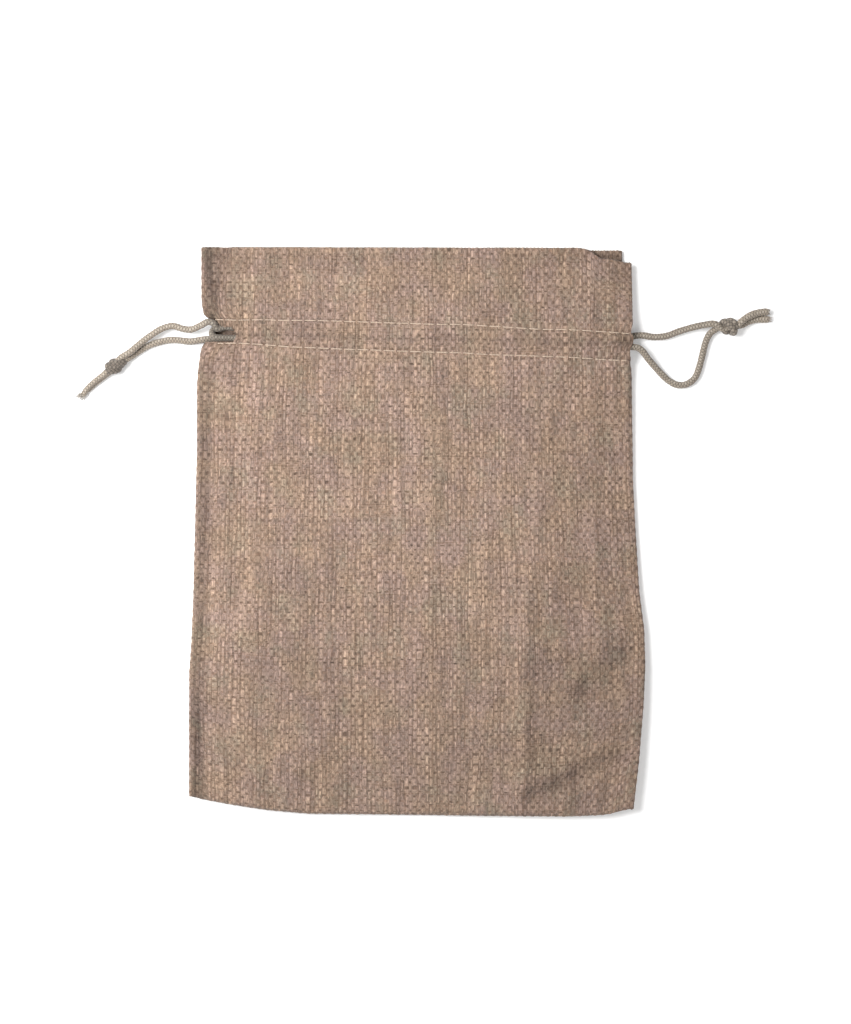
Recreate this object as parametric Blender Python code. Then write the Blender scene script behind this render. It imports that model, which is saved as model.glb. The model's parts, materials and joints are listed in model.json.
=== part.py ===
"""Small drawstring pouch of coarse woven cloth, lying flat on its back.

Frame: metres, +Z up.  +X runs across the pouch, +Y runs from the bottom seam to
the mouth, z = 0 is the surface the pouch rests on.  The origin is the bottom
centre of the whole object with its two drawcords laid out to the sides.

Construction, from the table upwards:
  back panel (outer layer) -> back cord tunnel -> turned-down hem of the back
  -> inside of the pouch -> turned-down hem of the front -> front cord tunnel
  -> front panel (outer layer).
Each drawcord runs round the whole mouth, front tunnel and back tunnel, and is
tied off with an overhand knot on its own side, so that pulling the two knots
apart closes the mouth.

All sizes below are in millimetres; MM turns them into metres where meshes and
curves are filled.
"""

import math

import bmesh
import bpy
from mathutils import Matrix, Vector

for old in list(bpy.data.objects):
    bpy.data.objects.remove(old, do_unlink=True)

MM = 0.001

# ---------------------------------------------------------------- dimensions
CLOTH = 0.5  # thickness of the woven cloth
CORD_D = 1.5  # braided drawcord
THREAD_D = 0.3  # sewing thread
GAP = 0.1  # clearance between a thread and the cloth it lies on
THREAD_LIFT = CLOTH / 2 + GAP + THREAD_D / 2  # thread's centre above the cloth's middle

# Side edges of the pouch: (y, x of the edge)
LEFT_EDGE = (
    (-60.0, -53.2), (-32.6, -53.2), (-25.8, -52.7), (-16.5, -52.3), (2.6, -51.8),
    (18.5, -51.4), (35.8, -51.35), (38.1, -51.1), (42.4, -47.9), (46.9, -47.9),
    (49.2, -50.0), (52.6, -50.2), (64.7, -50.3),
)
RIGHT_EDGE = (
    (-62.4, 47.7), (-51.9, 48.9), (-39.0, 49.8), (-30.8, 50.2), (-22.6, 50.0),
    (-13.8, 49.1), (-4.2, 48.5), (11.7, 47.8), (41.2, 47.8), (61.3, 47.5),
)
# Bottom and mouth edges: (x, y of the edge)
BOTTOM_EDGE = (
    (-53.2, -59.7), (-50.7, -60.7), (-44.5, -61.9), (-35.7, -63.3), (-26.1, -64.2),
    (13.4, -64.65), (32.9, -64.65), (42.7, -64.2), (48.0, -62.8),
)
FRONT_TOP_EDGE = ((-50.3, 64.65), (37.9, 64.4), (41.0, 62.1), (47.5, 61.25))
BACK_TOP_EDGE = ((-50.3, 64.65), (47.5, 64.0))
# Near the mouth the back's right edge draws in
BACK_SLANT = 2.2
BACK_SLANT_START = 60.5
BACK_SLANT_LENGTH = 3.0

# Cord tunnel: its centre line crosses the pouch at a slight angle
CORD_TILT = math.radians(1.25)
CORD_LINE_Y = 44.2  # y of the centre line at x = 0
TUNNEL_HALF = 2.1  # half the width of the tunnel's raised flat
TUNNEL_FOOT = 3.2  # half the width of the tunnel where it is sewn down
MOUTH_SLOT = 5.8  # length the front is cut back at the tunnel's left end
SEAM_TOP = 8.0  # the side seams stop this far below the line

# Turned-down hems
HEM_DEPTH = 6.2  # reach below the centre line
HEM_SIDE_INSET = 1.2
HEM_TOP_INSET = 0.8

# Heights of the layers' middle surfaces above the table
BACK_Z = CLOTH / 2
BACK_HEM_Z = 1.05
BACK_HEM_TUNNEL_Z = 2.55
FRONT_HEM_Z = 3.35
FRONT_HEM_TOP_Z = 1.85
FRONT_EDGE_Z = 2.85
FRONT_STITCH_Z = 4.15
FRONT_TUNNEL_Z = 5.65
FRONT_TOP_Z = 2.65
FRONT_PUFF = 2.75  # extra height of the front in the middle of the pouch
PUFF_REACH = 16.0  # distance from the seams over which it rises
BODY_BLEND = 9.0  # length over which the tunnel's foot runs into the body

# Seam allowance turned inside along both sides and the bottom
ALLOWANCE = 5.0
FOLD_R = 0.4
FOLD_STEPS = 3
CORNER_CLIP = 6.0
SEAM_INSET = FOLD_R + CLOTH / 2  # from the pouch's edge to the start of the fold

# Stitching: (x, y) along the front of the tunnel
UPPER_STITCH = (
    (-47.5, 48.07), (-27.95, 47.95), (-5.2, 47.4), (37.95, 45.57), (46.6, 44.9),
)
LOWER_STITCH = (
    (-46.1, 42.8), (-39.3, 42.66), (-27.95, 41.7), (-5.2, 41.0), (37.95, 39.3), (46.6, 38.75),
)
STITCH_STEP = 4.0  # spacing of the path points, roughly
BACK_STITCH_OFFSET = 3.7  # from the tunnel's centre line
BACK_STITCH_END_X = 45.6
SEAM_STITCH_INSET = 2.6  # from the seam's edge
SIDE_STITCH_Y = (-55.0, CORD_LINE_Y - SEAM_TOP - 1.0)
BOTTOM_STITCH_X = (-44.0, 40.0)
SIDE_STITCH_STEPS = 18
BOTTOM_STITCH_STEPS = 20

# Drawcord strands inside the tunnel
STRAND_OFFSET = 1.2  # from the tunnel's centre line
FRONT_STRAND_Z = 4.5
BACK_STRAND_Z = 1.4
BIGHT_X = 46.2  # where the far end of each cord's loop starts its turn
EXIT_X = 49.4  # the strands stay straight as far as this
STRAND_STEPS = 6
BIGHT_STEPS = 8

# Knots
KNOT_TURN_R = 1.25  # radius of the cord's turns round the knot
KNOT_PITCH = 1.15
KNOT_TURN_TILTS = ((-0.3, -0.1), (0.35, 0.28), (-0.3, -0.1))  # axis leans: (up, sideways)
STRAND_START = (0.85, 0.6)  # from the knot's centre: (up or down, away from the pouch)
TAIL_START = (0.8, -0.3)
TAIL_D = CORD_D * 0.97
TURN_D = CORD_D * 0.98

# Drawcords outside the pouch.  "upper" and "lower" are the strands at larger and
# smaller y, listed as (x, y, z) from the tunnel to the knot; tails run from the
# knot to their free ends, the one lying higher first.
DRAWCORDS = {
    "left_drawcord": dict(
        side=-1,
        upper=((-52.9, 45.8, 3.6), (-54.7, 46.1, 3.0), (-57.0, 46.8, 2.6), (-59.3, 46.25, 2.4),
               (-61.6, 44.9, 2.4), (-63.4, 43.6, 2.4), (-65.1, 42.2, 2.5), (-66.6, 40.8, 2.6)),
        lower=((-53.2, 43.3, 1.1), (-55.5, 43.6, 0.9), (-57.6, 43.7, 0.8), (-59.9, 43.3, 0.8),
               (-62.2, 42.6, 0.8), (-64.5, 41.6, 0.85), (-66.4, 40.4, 0.95)),
        knot=(-70.1, 37.9, 2.1),
        knot_axis=(-3.8, -3.6, 0.0),
        tails=(
            ((-72.0, 36.3, 2.8), (-74.3, 34.4, 2.9), (-76.6, 32.8, 2.7), (-79.0, 31.1, 2.4)),
            ((-71.8, 36.1, 1.15), (-74.2, 34.0, 1.1), (-76.4, 32.3, 1.0), (-78.2, 30.4, 0.9)),
        ),
    ),
    "right_drawcord": dict(
        side=1,
        upper=((52.7, 44.3, 1.2), (55.5, 44.6, 1.2), (58.3, 45.6, 1.5), (61.0, 46.4, 2.0),
               (63.8, 47.0, 2.5), (66.4, 47.2, 2.8)),
        lower=((51.6, 38.9, 2.6), (54.1, 36.2, 1.2), (56.2, 34.3, 0.85), (58.3, 33.4, 0.8),
               (60.4, 33.7, 0.8), (62.1, 35.1, 0.8), (63.1, 37.6, 0.8), (63.8, 40.3, 0.8),
               (64.5, 43.1, 0.85), (65.4, 45.2, 0.95), (66.7, 46.4, 1.05)),
        knot=(69.8, 46.6, 2.2),
        knot_axis=(4.0, 0.5, 0.0),
        tails=(
            ((72.2, 47.2, 2.9), (73.3, 48.4, 2.9), (75.1, 49.6, 2.6), (77.1, 50.2, 2.3),
             (79.0, 50.4, 2.0)),
            ((72.3, 46.8, 1.1), (74.3, 47.7, 1.0), (76.5, 48.3, 0.9), (79.1, 48.0, 0.85)),
        ),
    ),
}

# ---------------------------------------------------------------- cloth grid
# Columns: distances in from each side edge, then evenly spaced ones between
SIDE_STEPS = (0.0, MOUTH_SLOT / 2, MOUTH_SLOT, 11.0, 19.0)
MIDDLE_COLUMNS = 7
COLUMNS = 2 * len(SIDE_STEPS) + MIDDLE_COLUMNS
SLOT_COLUMN = SIDE_STEPS.index(MOUTH_SLOT)

# Rows: distances up from the bottom seam, evenly spaced body rows, distances
# from the tunnel's centre line, then evenly spaced head rows up to the mouth
LOW_STEPS = (0.0, 3.0, CORNER_CLIP, 12.0)
BODY_ROWS = 7
TUNNEL_ROWS = (
    -SEAM_TOP, -6.6, -TUNNEL_FOOT, -TUNNEL_HALF, 0.0, TUNNEL_HALF, TUNNEL_FOOT,
)
HEAD_ROWS = 2
ROWS = len(LOW_STEPS) + BODY_ROWS + len(TUNNEL_ROWS) + HEAD_ROWS
FIRST_SEAM_ROW = LOW_STEPS.index(CORNER_CLIP)
LAST_SEAM_ROW = len(LOW_STEPS) + BODY_ROWS
FIRST_SLOT_ROW = LAST_SEAM_ROW + TUNNEL_ROWS.index(-TUNNEL_HALF)
LAST_SLOT_ROW = LAST_SEAM_ROW + TUNNEL_ROWS.index(TUNNEL_HALF)

HEM_ROWS = (
    -HEM_DEPTH, -TUNNEL_FOOT - 0.4, -TUNNEL_FOOT, -TUNNEL_HALF, 0.0, TUNNEL_HALF, TUNNEL_FOOT,
)


# ------------------------------------------------------------------- helpers
def blend(start, end, share):
    return start + (end - start) * share


def spread(start, end, steps):
    """Evenly spaced numbers or vectors from start to end, both included."""
    return [start + (end - start) * k / steps for k in range(steps + 1)]


def station(table, at):
    """Straight-line reading of a (position, value) table, held level past its ends."""
    if at <= table[0][0]:
        return table[0][1]
    for (low, low_value), (high, high_value) in zip(table, table[1:]):
        if at <= high:
            return blend(low_value, high_value, (at - low) / (high - low))
    return table[-1][1]


def clamp(share):
    return min(1.0, max(0.0, share))


def smooth(share):
    share = clamp(share)
    return share * share * (3 - 2 * share)


def material(name, colour, roughness):
    mat = bpy.data.materials.get(name) or bpy.data.materials.new(name)
    mat.use_nodes = True
    bsdf = mat.node_tree.nodes["Principled BSDF"]
    bsdf.inputs["Base Color"].default_value = (*colour, 1.0)
    bsdf.inputs["Roughness"].default_value = roughness
    bsdf.inputs["Metallic"].default_value = 0.0
    return mat


def new_object(name, data, mat):
    obj = bpy.data.objects.new(name, data)
    bpy.context.scene.collection.objects.link(obj)
    data.materials.append(mat)
    return obj


def mesh_object(bm, name, mat):
    data = bpy.data.meshes.new(name)
    bm.to_mesh(data)
    bm.free()
    return new_object(name, data, mat)


# ------------------------------------------------------- outline and heights
def cord_line(x):
    return CORD_LINE_Y - math.tan(CORD_TILT) * x


def left_edge(y):
    return station(LEFT_EDGE, y)


def right_edge(y, front=True):
    x = station(RIGHT_EDGE, y)
    if not front:
        x -= BACK_SLANT * smooth((y - BACK_SLANT_START) / BACK_SLANT_LENGTH)
    return x


def top_edge(x, front=True):
    return station(FRONT_TOP_EDGE if front else BACK_TOP_EDGE, x)


def bottom_edge(x):
    return station(BOTTOM_EDGE, x)


def tunnel_profile(offset, flat, foot):
    """Height across the tunnel: raised flat, sloping sides, sewn-down foot."""
    return blend(flat, foot, clamp((abs(offset) - TUNNEL_HALF) / (TUNNEL_FOOT - TUNNEL_HALF)))


def head_share(x, y):
    """0 up to the tunnel's upper foot, rising to 1 at the front's mouth edge."""
    start = cord_line(x) + TUNNEL_FOOT
    return clamp((y - start) / (top_edge(x) - start))


def front_z(x, y):
    offset = y - cord_line(x)
    if offset > TUNNEL_FOOT:
        return blend(FRONT_STITCH_Z, FRONT_TOP_Z, head_share(x, y))
    if offset > -SEAM_TOP:
        return tunnel_profile(offset, FRONT_TUNNEL_Z, FRONT_STITCH_Z)
    from_side = min(x - left_edge(y), right_edge(y) - x)
    from_bottom = y - bottom_edge(x)
    puff = FRONT_PUFF * smooth(from_side / PUFF_REACH) * smooth(from_bottom / PUFF_REACH)
    return blend(FRONT_STITCH_Z, FRONT_EDGE_Z + puff, smooth((-offset - SEAM_TOP) / BODY_BLEND))


def back_z(x, y):
    return BACK_Z


def front_hem_z(x, y):
    return blend(FRONT_HEM_Z, FRONT_HEM_TOP_Z, head_share(x, y))


def back_hem_z(x, y):
    return tunnel_profile(y - cord_line(x), BACK_HEM_TUNNEL_Z, BACK_HEM_Z)


# -------------------------------------------------------------- cloth pieces
def panel_x(i, y, front, inset):
    """Position across of panel column i at height y."""
    left, right = left_edge(y) + inset, right_edge(y, front) - inset
    side_count = len(SIDE_STEPS)
    if i < side_count:
        return left + SIDE_STEPS[i]
    if i >= COLUMNS - side_count:
        return right - SIDE_STEPS[COLUMNS - 1 - i]
    share = (i - side_count + 1) / (MIDDLE_COLUMNS + 1)
    return blend(left + SIDE_STEPS[-1], right - SIDE_STEPS[-1], share)


def tunnel_y(j, rows, x, front, top_inset=0.0):
    """Height of row j of those that follow the tunnel, then the mouth."""
    if j < len(rows):
        return cord_line(x) + rows[j]
    share = (j - len(rows) + 1) / HEAD_ROWS
    return blend(cord_line(x) + TUNNEL_FOOT, top_edge(x, front) - top_inset, share)


def panel_y(j, x, front):
    """Height of panel row j at position x."""
    low = bottom_edge(x) + SEAM_INSET
    low_count = len(LOW_STEPS)
    if j < low_count:
        return low + LOW_STEPS[j]
    if j < LAST_SEAM_ROW:
        share = (j - low_count + 1) / (BODY_ROWS + 1)
        return blend(low + LOW_STEPS[-1], cord_line(x) - SEAM_TOP, share)
    return tunnel_y(j - LAST_SEAM_ROW, TUNNEL_ROWS, x, front)


def crossing(column_at, row_at, y):
    """Where a column x(y) meets a row y(x), approached in four rounds from y."""
    for _ in range(4):
        x = column_at(y)
        y = row_at(x)
    return x, y


def add_vert(bm, place, height):
    x, y = place
    return bm.verts.new((x * MM, y * MM, height(x, y) * MM))


def strip(bm, low, high, first=0):
    """Faces between two rows of verts, from column first on."""
    for i in range(first, len(low) - 1):
        bm.faces.new((low[i], low[i + 1], high[i + 1], high[i]))


def fold(bm, line, outward, turn):
    """Turns the edge through the verts of line back inside the pouch."""
    angles = [math.pi * k / FOLD_STEPS for k in range(1, FOLD_STEPS + 1)]
    profile = [(FOLD_R * math.sin(a), FOLD_R * (1 - math.cos(a))) for a in angles]
    profile.append((-ALLOWANCE, 2 * FOLD_R))
    previous = line
    for out, rise in profile:
        shift = (Vector(outward) * out + Vector((0, 0, turn * rise))) * MM
        row = [bm.verts.new(vert.co + shift) for vert in line]
        strip(bm, previous, row)
        previous = row


def cloth_from(bm, name, mat):
    obj = mesh_object(bm, name, mat)
    thick = obj.modifiers.new("cloth_thickness", "SOLIDIFY")
    thick.thickness = CLOTH * MM
    thick.offset = 0.0
    thick.use_even_offset = True
    thick.use_quality_normals = True


def panel(name, front, mat):
    """Outer layer of one side of the pouch with its seam allowances folded inside."""
    height = front_z if front else back_z
    turn = -1.0 if front else 1.0  # the front folds down, the back folds up
    bm = bmesh.new()
    grid = []
    for j in range(ROWS):
        inset = SEAM_INSET if j <= LAST_SEAM_ROW else 0.0
        row = []
        for i in range(COLUMNS):
            place = crossing(lambda y: panel_x(i, y, front, inset),
                             lambda x: panel_y(j, x, front), 0.0)
            row.append(add_vert(bm, place, height))
        grid.append(row)
    for j in range(ROWS - 1):
        slot = front and FIRST_SLOT_ROW <= j < LAST_SLOT_ROW
        strip(bm, grid[j], grid[j + 1], SLOT_COLUMN if slot else 0)

    seam_rows = grid[FIRST_SEAM_ROW:LAST_SEAM_ROW + 1]
    fold(bm, [row[0] for row in seam_rows], (-1, 0, 0), turn)
    fold(bm, [row[-1] for row in seam_rows], (1, 0, 0), turn)
    # The bottom allowance stops short of the corners, SLOT_COLUMN columns in
    fold(bm, grid[0][SLOT_COLUMN:COLUMNS - SLOT_COLUMN], (0, -1, 0), turn)
    bmesh.ops.recalc_face_normals(bm, faces=bm.faces)
    cloth_from(bm, name, mat)


def hem(name, front, mat):
    """Turned-down hem: the inner wall of the cord tunnel, up to just below the mouth's edge."""
    height = front_hem_z if front else back_hem_z

    def hem_x(i, y):
        left = left_edge(y) + HEM_SIDE_INSET
        right = right_edge(y, front) - HEM_SIDE_INSET
        return blend(left, right, i / (COLUMNS - 1))

    bm = bmesh.new()
    grid = []
    for j in range(len(HEM_ROWS) + HEAD_ROWS):
        row = []
        for i in range(COLUMNS):
            place = crossing(lambda y: hem_x(i, y),
                             lambda x: tunnel_y(j, HEM_ROWS, x, front, HEM_TOP_INSET),
                             CORD_LINE_Y)
            row.append(add_vert(bm, place, height))
        grid.append(row)
    for low, high in zip(grid, grid[1:]):
        strip(bm, low, high)
    cloth_from(bm, name, mat)


# ------------------------------------------------------------ cords, threads
def rounded(points, steps=2):
    """Smooth path through the points (Catmull-Rom), steps samples per span."""
    pts = [Vector(p) for p in points]
    pts = [2 * pts[0] - pts[1]] + pts + [2 * pts[-1] - pts[-2]]
    path = []
    for a, b, c, d in zip(pts, pts[1:], pts[2:], pts[3:]):
        for k in range(steps):
            t = k / steps
            path.append(0.5 * ((2 * b) + (c - a) * t + (2 * a - 5 * b + 4 * c - d) * t * t
                               + (3 * b - a - 3 * c + d) * t * t * t))
    path.append(pts[-2])
    return path


def tube(name, path, diameter, sides, mat):
    """Round curve along a path, with closed ends."""
    curve = bpy.data.curves.new(name, "CURVE")
    curve.dimensions = "3D"
    curve.bevel_depth = diameter * MM / 2
    curve.bevel_resolution = sides // 2 - 2
    curve.use_fill_caps = True
    spline = curve.splines.new("POLY")
    spline.points.add(len(path) - 1)
    for point, (x, y, z) in zip(spline.points, path):
        point.co = (x * MM, y * MM, z * MM, 1.0)
    return new_object(name, curve, mat)


def cord_piece(name, path, diameter, mat):
    """Length of cord as a closed mesh, so that it can be joined."""
    source = tube(name, path, diameter, 8, mat)
    graph = bpy.context.evaluated_depsgraph_get()
    data = bpy.data.meshes.new_from_object(source.evaluated_get(graph))
    bpy.data.objects.remove(source, do_unlink=True)
    bm = bmesh.new()
    bm.from_mesh(data)
    bmesh.ops.remove_doubles(bm, verts=bm.verts, dist=1e-7)
    bmesh.ops.recalc_face_normals(bm, faces=bm.faces)
    bm.to_mesh(data)
    bm.free()
    data.materials.clear()
    return new_object(name, data, mat)


def knot_turn(name, centre, axis, mat, segments=12, sides=8):
    """One closed turn of cord round the axis."""
    bm = bmesh.new()
    rotation = Vector((0, 0, 1)).rotation_difference(axis).to_matrix().to_4x4()
    place = Matrix.Translation(centre * MM) @ rotation
    cord_r = TURN_D * MM / 2
    loops = []
    for k in range(segments):
        around = 2 * math.pi * k / segments
        loop = []
        for s in range(sides):
            section = 2 * math.pi * s / sides
            reach = KNOT_TURN_R * MM + cord_r * math.cos(section)
            at = (reach * math.cos(around), reach * math.sin(around), cord_r * math.sin(section))
            loop.append(bm.verts.new(place @ Vector(at)))
        loops.append(loop)
    for k in range(segments):
        here, there = loops[k], loops[(k + 1) % segments]
        for s in range(sides):
            t = (s + 1) % sides
            bm.faces.new((here[s], there[s], there[t], here[t]))
    bmesh.ops.recalc_face_normals(bm, faces=bm.faces)
    return mesh_object(bm, name, mat)


def strand_ends(side, offset, z):
    """A strand's ends: outside the tunnel on its own side, and where the far loop turns."""
    return [Vector((x, cord_line(x) + offset, z)) for x in (side * EXIT_X, -side * BIGHT_X)]


def drawcord(name, side, upper, lower, knot, knot_axis, tails, mat):
    """One drawcord: front strand, far loop, back strand, overhand knot and two tails."""
    knot = Vector(knot)
    axis = Vector(knot_axis).normalized()
    up = Vector((0, 0, 1))

    def knot_start(start, sign):
        rise, along = start
        return knot + up * (sign * rise) + axis * along

    def outside(points, sign, tunnel_end):
        """Path from the knot up to, but without, the strand's end at the tunnel."""
        return rounded([knot_start(STRAND_START, sign), *reversed(points), tunnel_end])[:-1]

    # The left cord's front strand is its upper one, the right cord's its lower one
    front_offset = -side * STRAND_OFFSET
    front_out, front_far = strand_ends(side, front_offset, FRONT_STRAND_Z)
    back_out, back_far = strand_ends(side, -front_offset, BACK_STRAND_Z)
    leads = [(upper, 1), (lower, -1)]
    front_lead, back_lead = leads if side < 0 else reversed(leads)

    # Half-circle joining the two strands at the far end
    far = Vector((-side, side * math.tan(CORD_TILT), 0)).normalized()
    middle, half = (front_far + back_far) / 2, (front_far - back_far) / 2
    bight = []
    for k in range(1, BIGHT_STEPS):
        angle = math.pi * k / BIGHT_STEPS
        bight.append(middle + half * math.cos(angle) + far * half.length * math.sin(angle))

    path = outside(*front_lead, front_out)
    path += spread(front_out, front_far, STRAND_STEPS)
    path += bight
    path += spread(back_far, back_out, STRAND_STEPS)
    path += reversed(outside(*back_lead, back_out))
    cord = cord_piece(name, path, CORD_D, mat)

    extras = []
    for k, (tail, sign) in enumerate(zip(tails, (1, -1))):
        points = rounded([knot_start(TAIL_START, sign), *tail])
        extras.append(cord_piece(f"{name}_tail_{k}", points, TAIL_D, mat))
    sideways = Vector((-axis.y, axis.x, 0))
    for k, (lean_up, lean_sideways) in enumerate(KNOT_TURN_TILTS):
        along = (k - (len(KNOT_TURN_TILTS) - 1) / 2) * KNOT_PITCH
        turn_axis = axis + up * lean_up + sideways * lean_sideways
        extras.append(knot_turn(f"{name}_turn_{k}", knot + axis * along, turn_axis, mat))
    for extra in extras:
        extra.hide_render = True
        extra.display_type = "WIRE"
        join = cord.modifiers.new(f"join_{extra.name}", "BOOLEAN")
        join.operation = "UNION"
        join.solver = "EXACT"
        join.object = extra


def thread_tube(name, path, mat):
    tube(name, path, THREAD_D, 4, mat)


def thread_on(name, line, surface, mat):
    """Thread lying along a line of (x, y) points on a surface given by its middle height."""
    start, end = line[0][0], line[-1][0]
    path = []
    for x in spread(start, end, max(2, round((end - start) / STITCH_STEP))):
        y = station(line, x)
        # The highest cloth close by, so that the thread clears the tunnel's slope
        high = max(surface(x, y + dy) for dy in (-0.5, -0.25, 0.0, 0.25, 0.5))
        path.append((x, y, high + THREAD_LIFT))
    thread_tube(name, path, mat)


def tunnel_stitches(mat):
    thread_on("front_upper_tunnel_stitch", UPPER_STITCH, front_z, mat)
    thread_on("front_lower_tunnel_stitch", LOWER_STITCH, front_z, mat)
    for label, offset in (("upper", BACK_STITCH_OFFSET), ("lower", -BACK_STITCH_OFFSET)):
        ends = [(x, cord_line(x) + offset) for x in (-BACK_STITCH_END_X, BACK_STITCH_END_X)]
        thread_on(f"back_{label}_tunnel_stitch", ends, back_hem_z, mat)


def seam_stitches(mat):
    z = BACK_HEM_Z + THREAD_LIFT
    for label, edge, inward in (("left", left_edge, 1), ("right", right_edge, -1)):
        path = [(edge(y) + inward * SEAM_STITCH_INSET, y, z)
                for y in spread(*SIDE_STITCH_Y, SIDE_STITCH_STEPS)]
        thread_tube(f"{label}_side_seam_stitch", path, mat)
    path = [(x, bottom_edge(x) + SEAM_STITCH_INSET, z)
            for x in spread(*BOTTOM_STITCH_X, BOTTOM_STITCH_STEPS)]
    thread_tube("bottom_seam_stitch", path, mat)


# ------------------------------------------------------------------ the pouch
linen = material("linen_weave", colour=(0.41, 0.29, 0.215), roughness=0.92)
cord_braid = material("braided_cord", colour=(0.35, 0.29, 0.235), roughness=0.75)
thread = material("sewing_thread", colour=(0.72, 0.56, 0.44), roughness=0.6)

panel("back_panel", front=False, mat=linen)
panel("front_panel", front=True, mat=linen)
hem("back_turned_hem", front=False, mat=linen)
hem("front_turned_hem", front=True, mat=linen)
tunnel_stitches(thread)
seam_stitches(thread)
for cord_name, layout in DRAWCORDS.items():
    drawcord(cord_name, mat=cord_braid, **layout)
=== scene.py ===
# A drawstring pouch lying on its back: x runs left to right, y from the closed bottom to the
# mouth, z up from the back cloth to the front cloth. Woven cloth with real yarn relief, a sewn
# tunnel, two braided drawcords, their knots and frayed ends.
# Working numbers are millimetres in the frame's axes; meshes are written in metres.
import json
import math

import bpy
import numpy as np
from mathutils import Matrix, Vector


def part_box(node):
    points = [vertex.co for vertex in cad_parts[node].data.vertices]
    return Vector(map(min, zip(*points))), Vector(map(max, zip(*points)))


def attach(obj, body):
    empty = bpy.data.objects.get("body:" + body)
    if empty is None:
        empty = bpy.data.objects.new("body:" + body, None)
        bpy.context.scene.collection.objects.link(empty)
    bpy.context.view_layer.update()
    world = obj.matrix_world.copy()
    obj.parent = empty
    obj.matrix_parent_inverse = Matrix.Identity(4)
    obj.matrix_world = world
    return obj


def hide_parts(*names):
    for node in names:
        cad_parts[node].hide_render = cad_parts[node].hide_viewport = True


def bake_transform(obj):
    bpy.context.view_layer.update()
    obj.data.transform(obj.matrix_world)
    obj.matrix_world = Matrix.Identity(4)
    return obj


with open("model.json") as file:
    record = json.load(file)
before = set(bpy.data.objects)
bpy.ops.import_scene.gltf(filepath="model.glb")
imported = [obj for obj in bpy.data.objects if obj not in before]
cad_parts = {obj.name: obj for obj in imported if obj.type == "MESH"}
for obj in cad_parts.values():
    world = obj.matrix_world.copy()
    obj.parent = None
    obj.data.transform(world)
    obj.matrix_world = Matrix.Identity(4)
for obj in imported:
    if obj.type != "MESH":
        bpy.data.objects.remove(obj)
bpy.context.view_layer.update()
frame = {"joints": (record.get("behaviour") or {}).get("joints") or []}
MM = 0.001


def box_mm(node):
    low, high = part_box(node)
    return np.array(low) / MM, np.array(high) / MM


# ---------------------------------------------------------------- places taken from the frame
panel_low, panel_high = box_mm("front_panel")
MID_X = (panel_low[0] + panel_high[0]) / 2 + 1.5    # the pouch's own middle; tables are drawn about it
MID_Y = (panel_low[1] + panel_high[1]) / 2
BASE_Z = box_mm("back_panel")[0][2]
cord_axis = next(np.array(j["axis"], float) for j in frame["joints"] if j["child"] == "right_cord")
CORD_DROP = -cord_axis[1] / cord_axis[0]            # fall of the cord line per millimetre of x
CORD_Y = 44.2 + MID_Y                               # cord line at MID_X

# ---------------------------------------------------------------- cloth dimensions
WEFT_PITCH = 1.08
SUB = 4                                             # mesh samples per yarn
LEFT_N, RIGHT_N = 56, 53                            # warps between the middle and each side
LEFT_WIDTH, RIGHT_WIDTH = 51.5, 48.0                # nominal, middle to side
HALF_HEIGHT = 64.65
ROLL_N = 2                                          # yarns turned over at a folded edge
ROLL_RADIUS, FOLD_RADIUS = 0.9, 0.42                # turned edge, mouth fold
BODY_ROWS, FOLD_ROWS, HEM_ROWS = 118, 1.25, 24.75   # wefts up the panel, over the fold, down the hem
CREST = int((ROLL_N + BODY_ROWS + FOLD_ROWS / 2) * SUB)     # sample row at the crest of the fold
YARN_WAVE = 0.046                                   # how far yarns wave over and under
WARP_CROWN, WEFT_CROWN = 0.078, 0.046               # how proud they stand
WEFT_SUNK = 0.050                                   # wefts lie lower, so warps make long floats
OUTER_SKIN, INNER_SKIN = 0.13, 0.18                 # from the middle surface to each face
SEAM_Z = 1.2                                        # height of the side seam line
SEEDS = {"front": 100, "back": 200}
FACING = {"front": 1, "back": -1}

# Side edges: (y, x).
LEFT_EDGE = [
    (-60, -53.2), (-32.6, -53.2), (-25.8, -52.7), (-16.5, -52.3), (2.6, -51.8), (18.5, -51.4),
    (33, -51.4), (36.5, -51.2), (39.9, -50.75), (42.3, -50.0), (43.2, -49.3), (44.0, -48.3),
    (47.3, -48.1), (48.3, -48.7), (49.3, -49.7), (52.6, -50.2), (64.7, -50.3)]
RIGHT_EDGE = [
    (-62.4, 47.7), (-51.9, 48.9), (-39, 50.0), (-30.8, 50.4), (-22.6, 50.2), (-13.8, 49.1),
    (-4.2, 48.5), (11.7, 47.7), (36.0, 47.4), (39.0, 47.0), (41.7, 47.0), (42.5, 47.7),
    (44.3, 47.8), (45.0, 47.2), (45.9, 47.3), (46.6, 47.5), (61.3, 47.3)]
# Bottom, mouth and stitch lines: (x, y).
BOTTOM_EDGE = [
    (-53.2, -59.7), (-50.7, -60.7), (-44.5, -61.9), (-35.7, -63.3), (-26.1, -64.2),
    (13.4, -64.65), (32.9, -64.65), (42.7, -64.2), (48, -62.8)]
FRONT_TOP = [(-50.3, 64.65), (36.5, 64.45), (39.0, 64.0), (41.5, 62.1), (45.6, 61.7), (47.5, 61.1)]
BACK_TOP = [(-50.3, 64.65), (47.5, 64.0)]
UPPER_STITCH = [(-47.5, 48.07), (-27.95, 47.95), (-5.2, 47.4), (37.95, 45.57), (46.6, 44.9)]
LOWER_STITCH = [
    (-46.1, 42.8), (-39.3, 42.66), (-27.95, 41.7), (-5.2, 41.0), (37.95, 39.3), (46.6, 38.75)]
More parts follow.
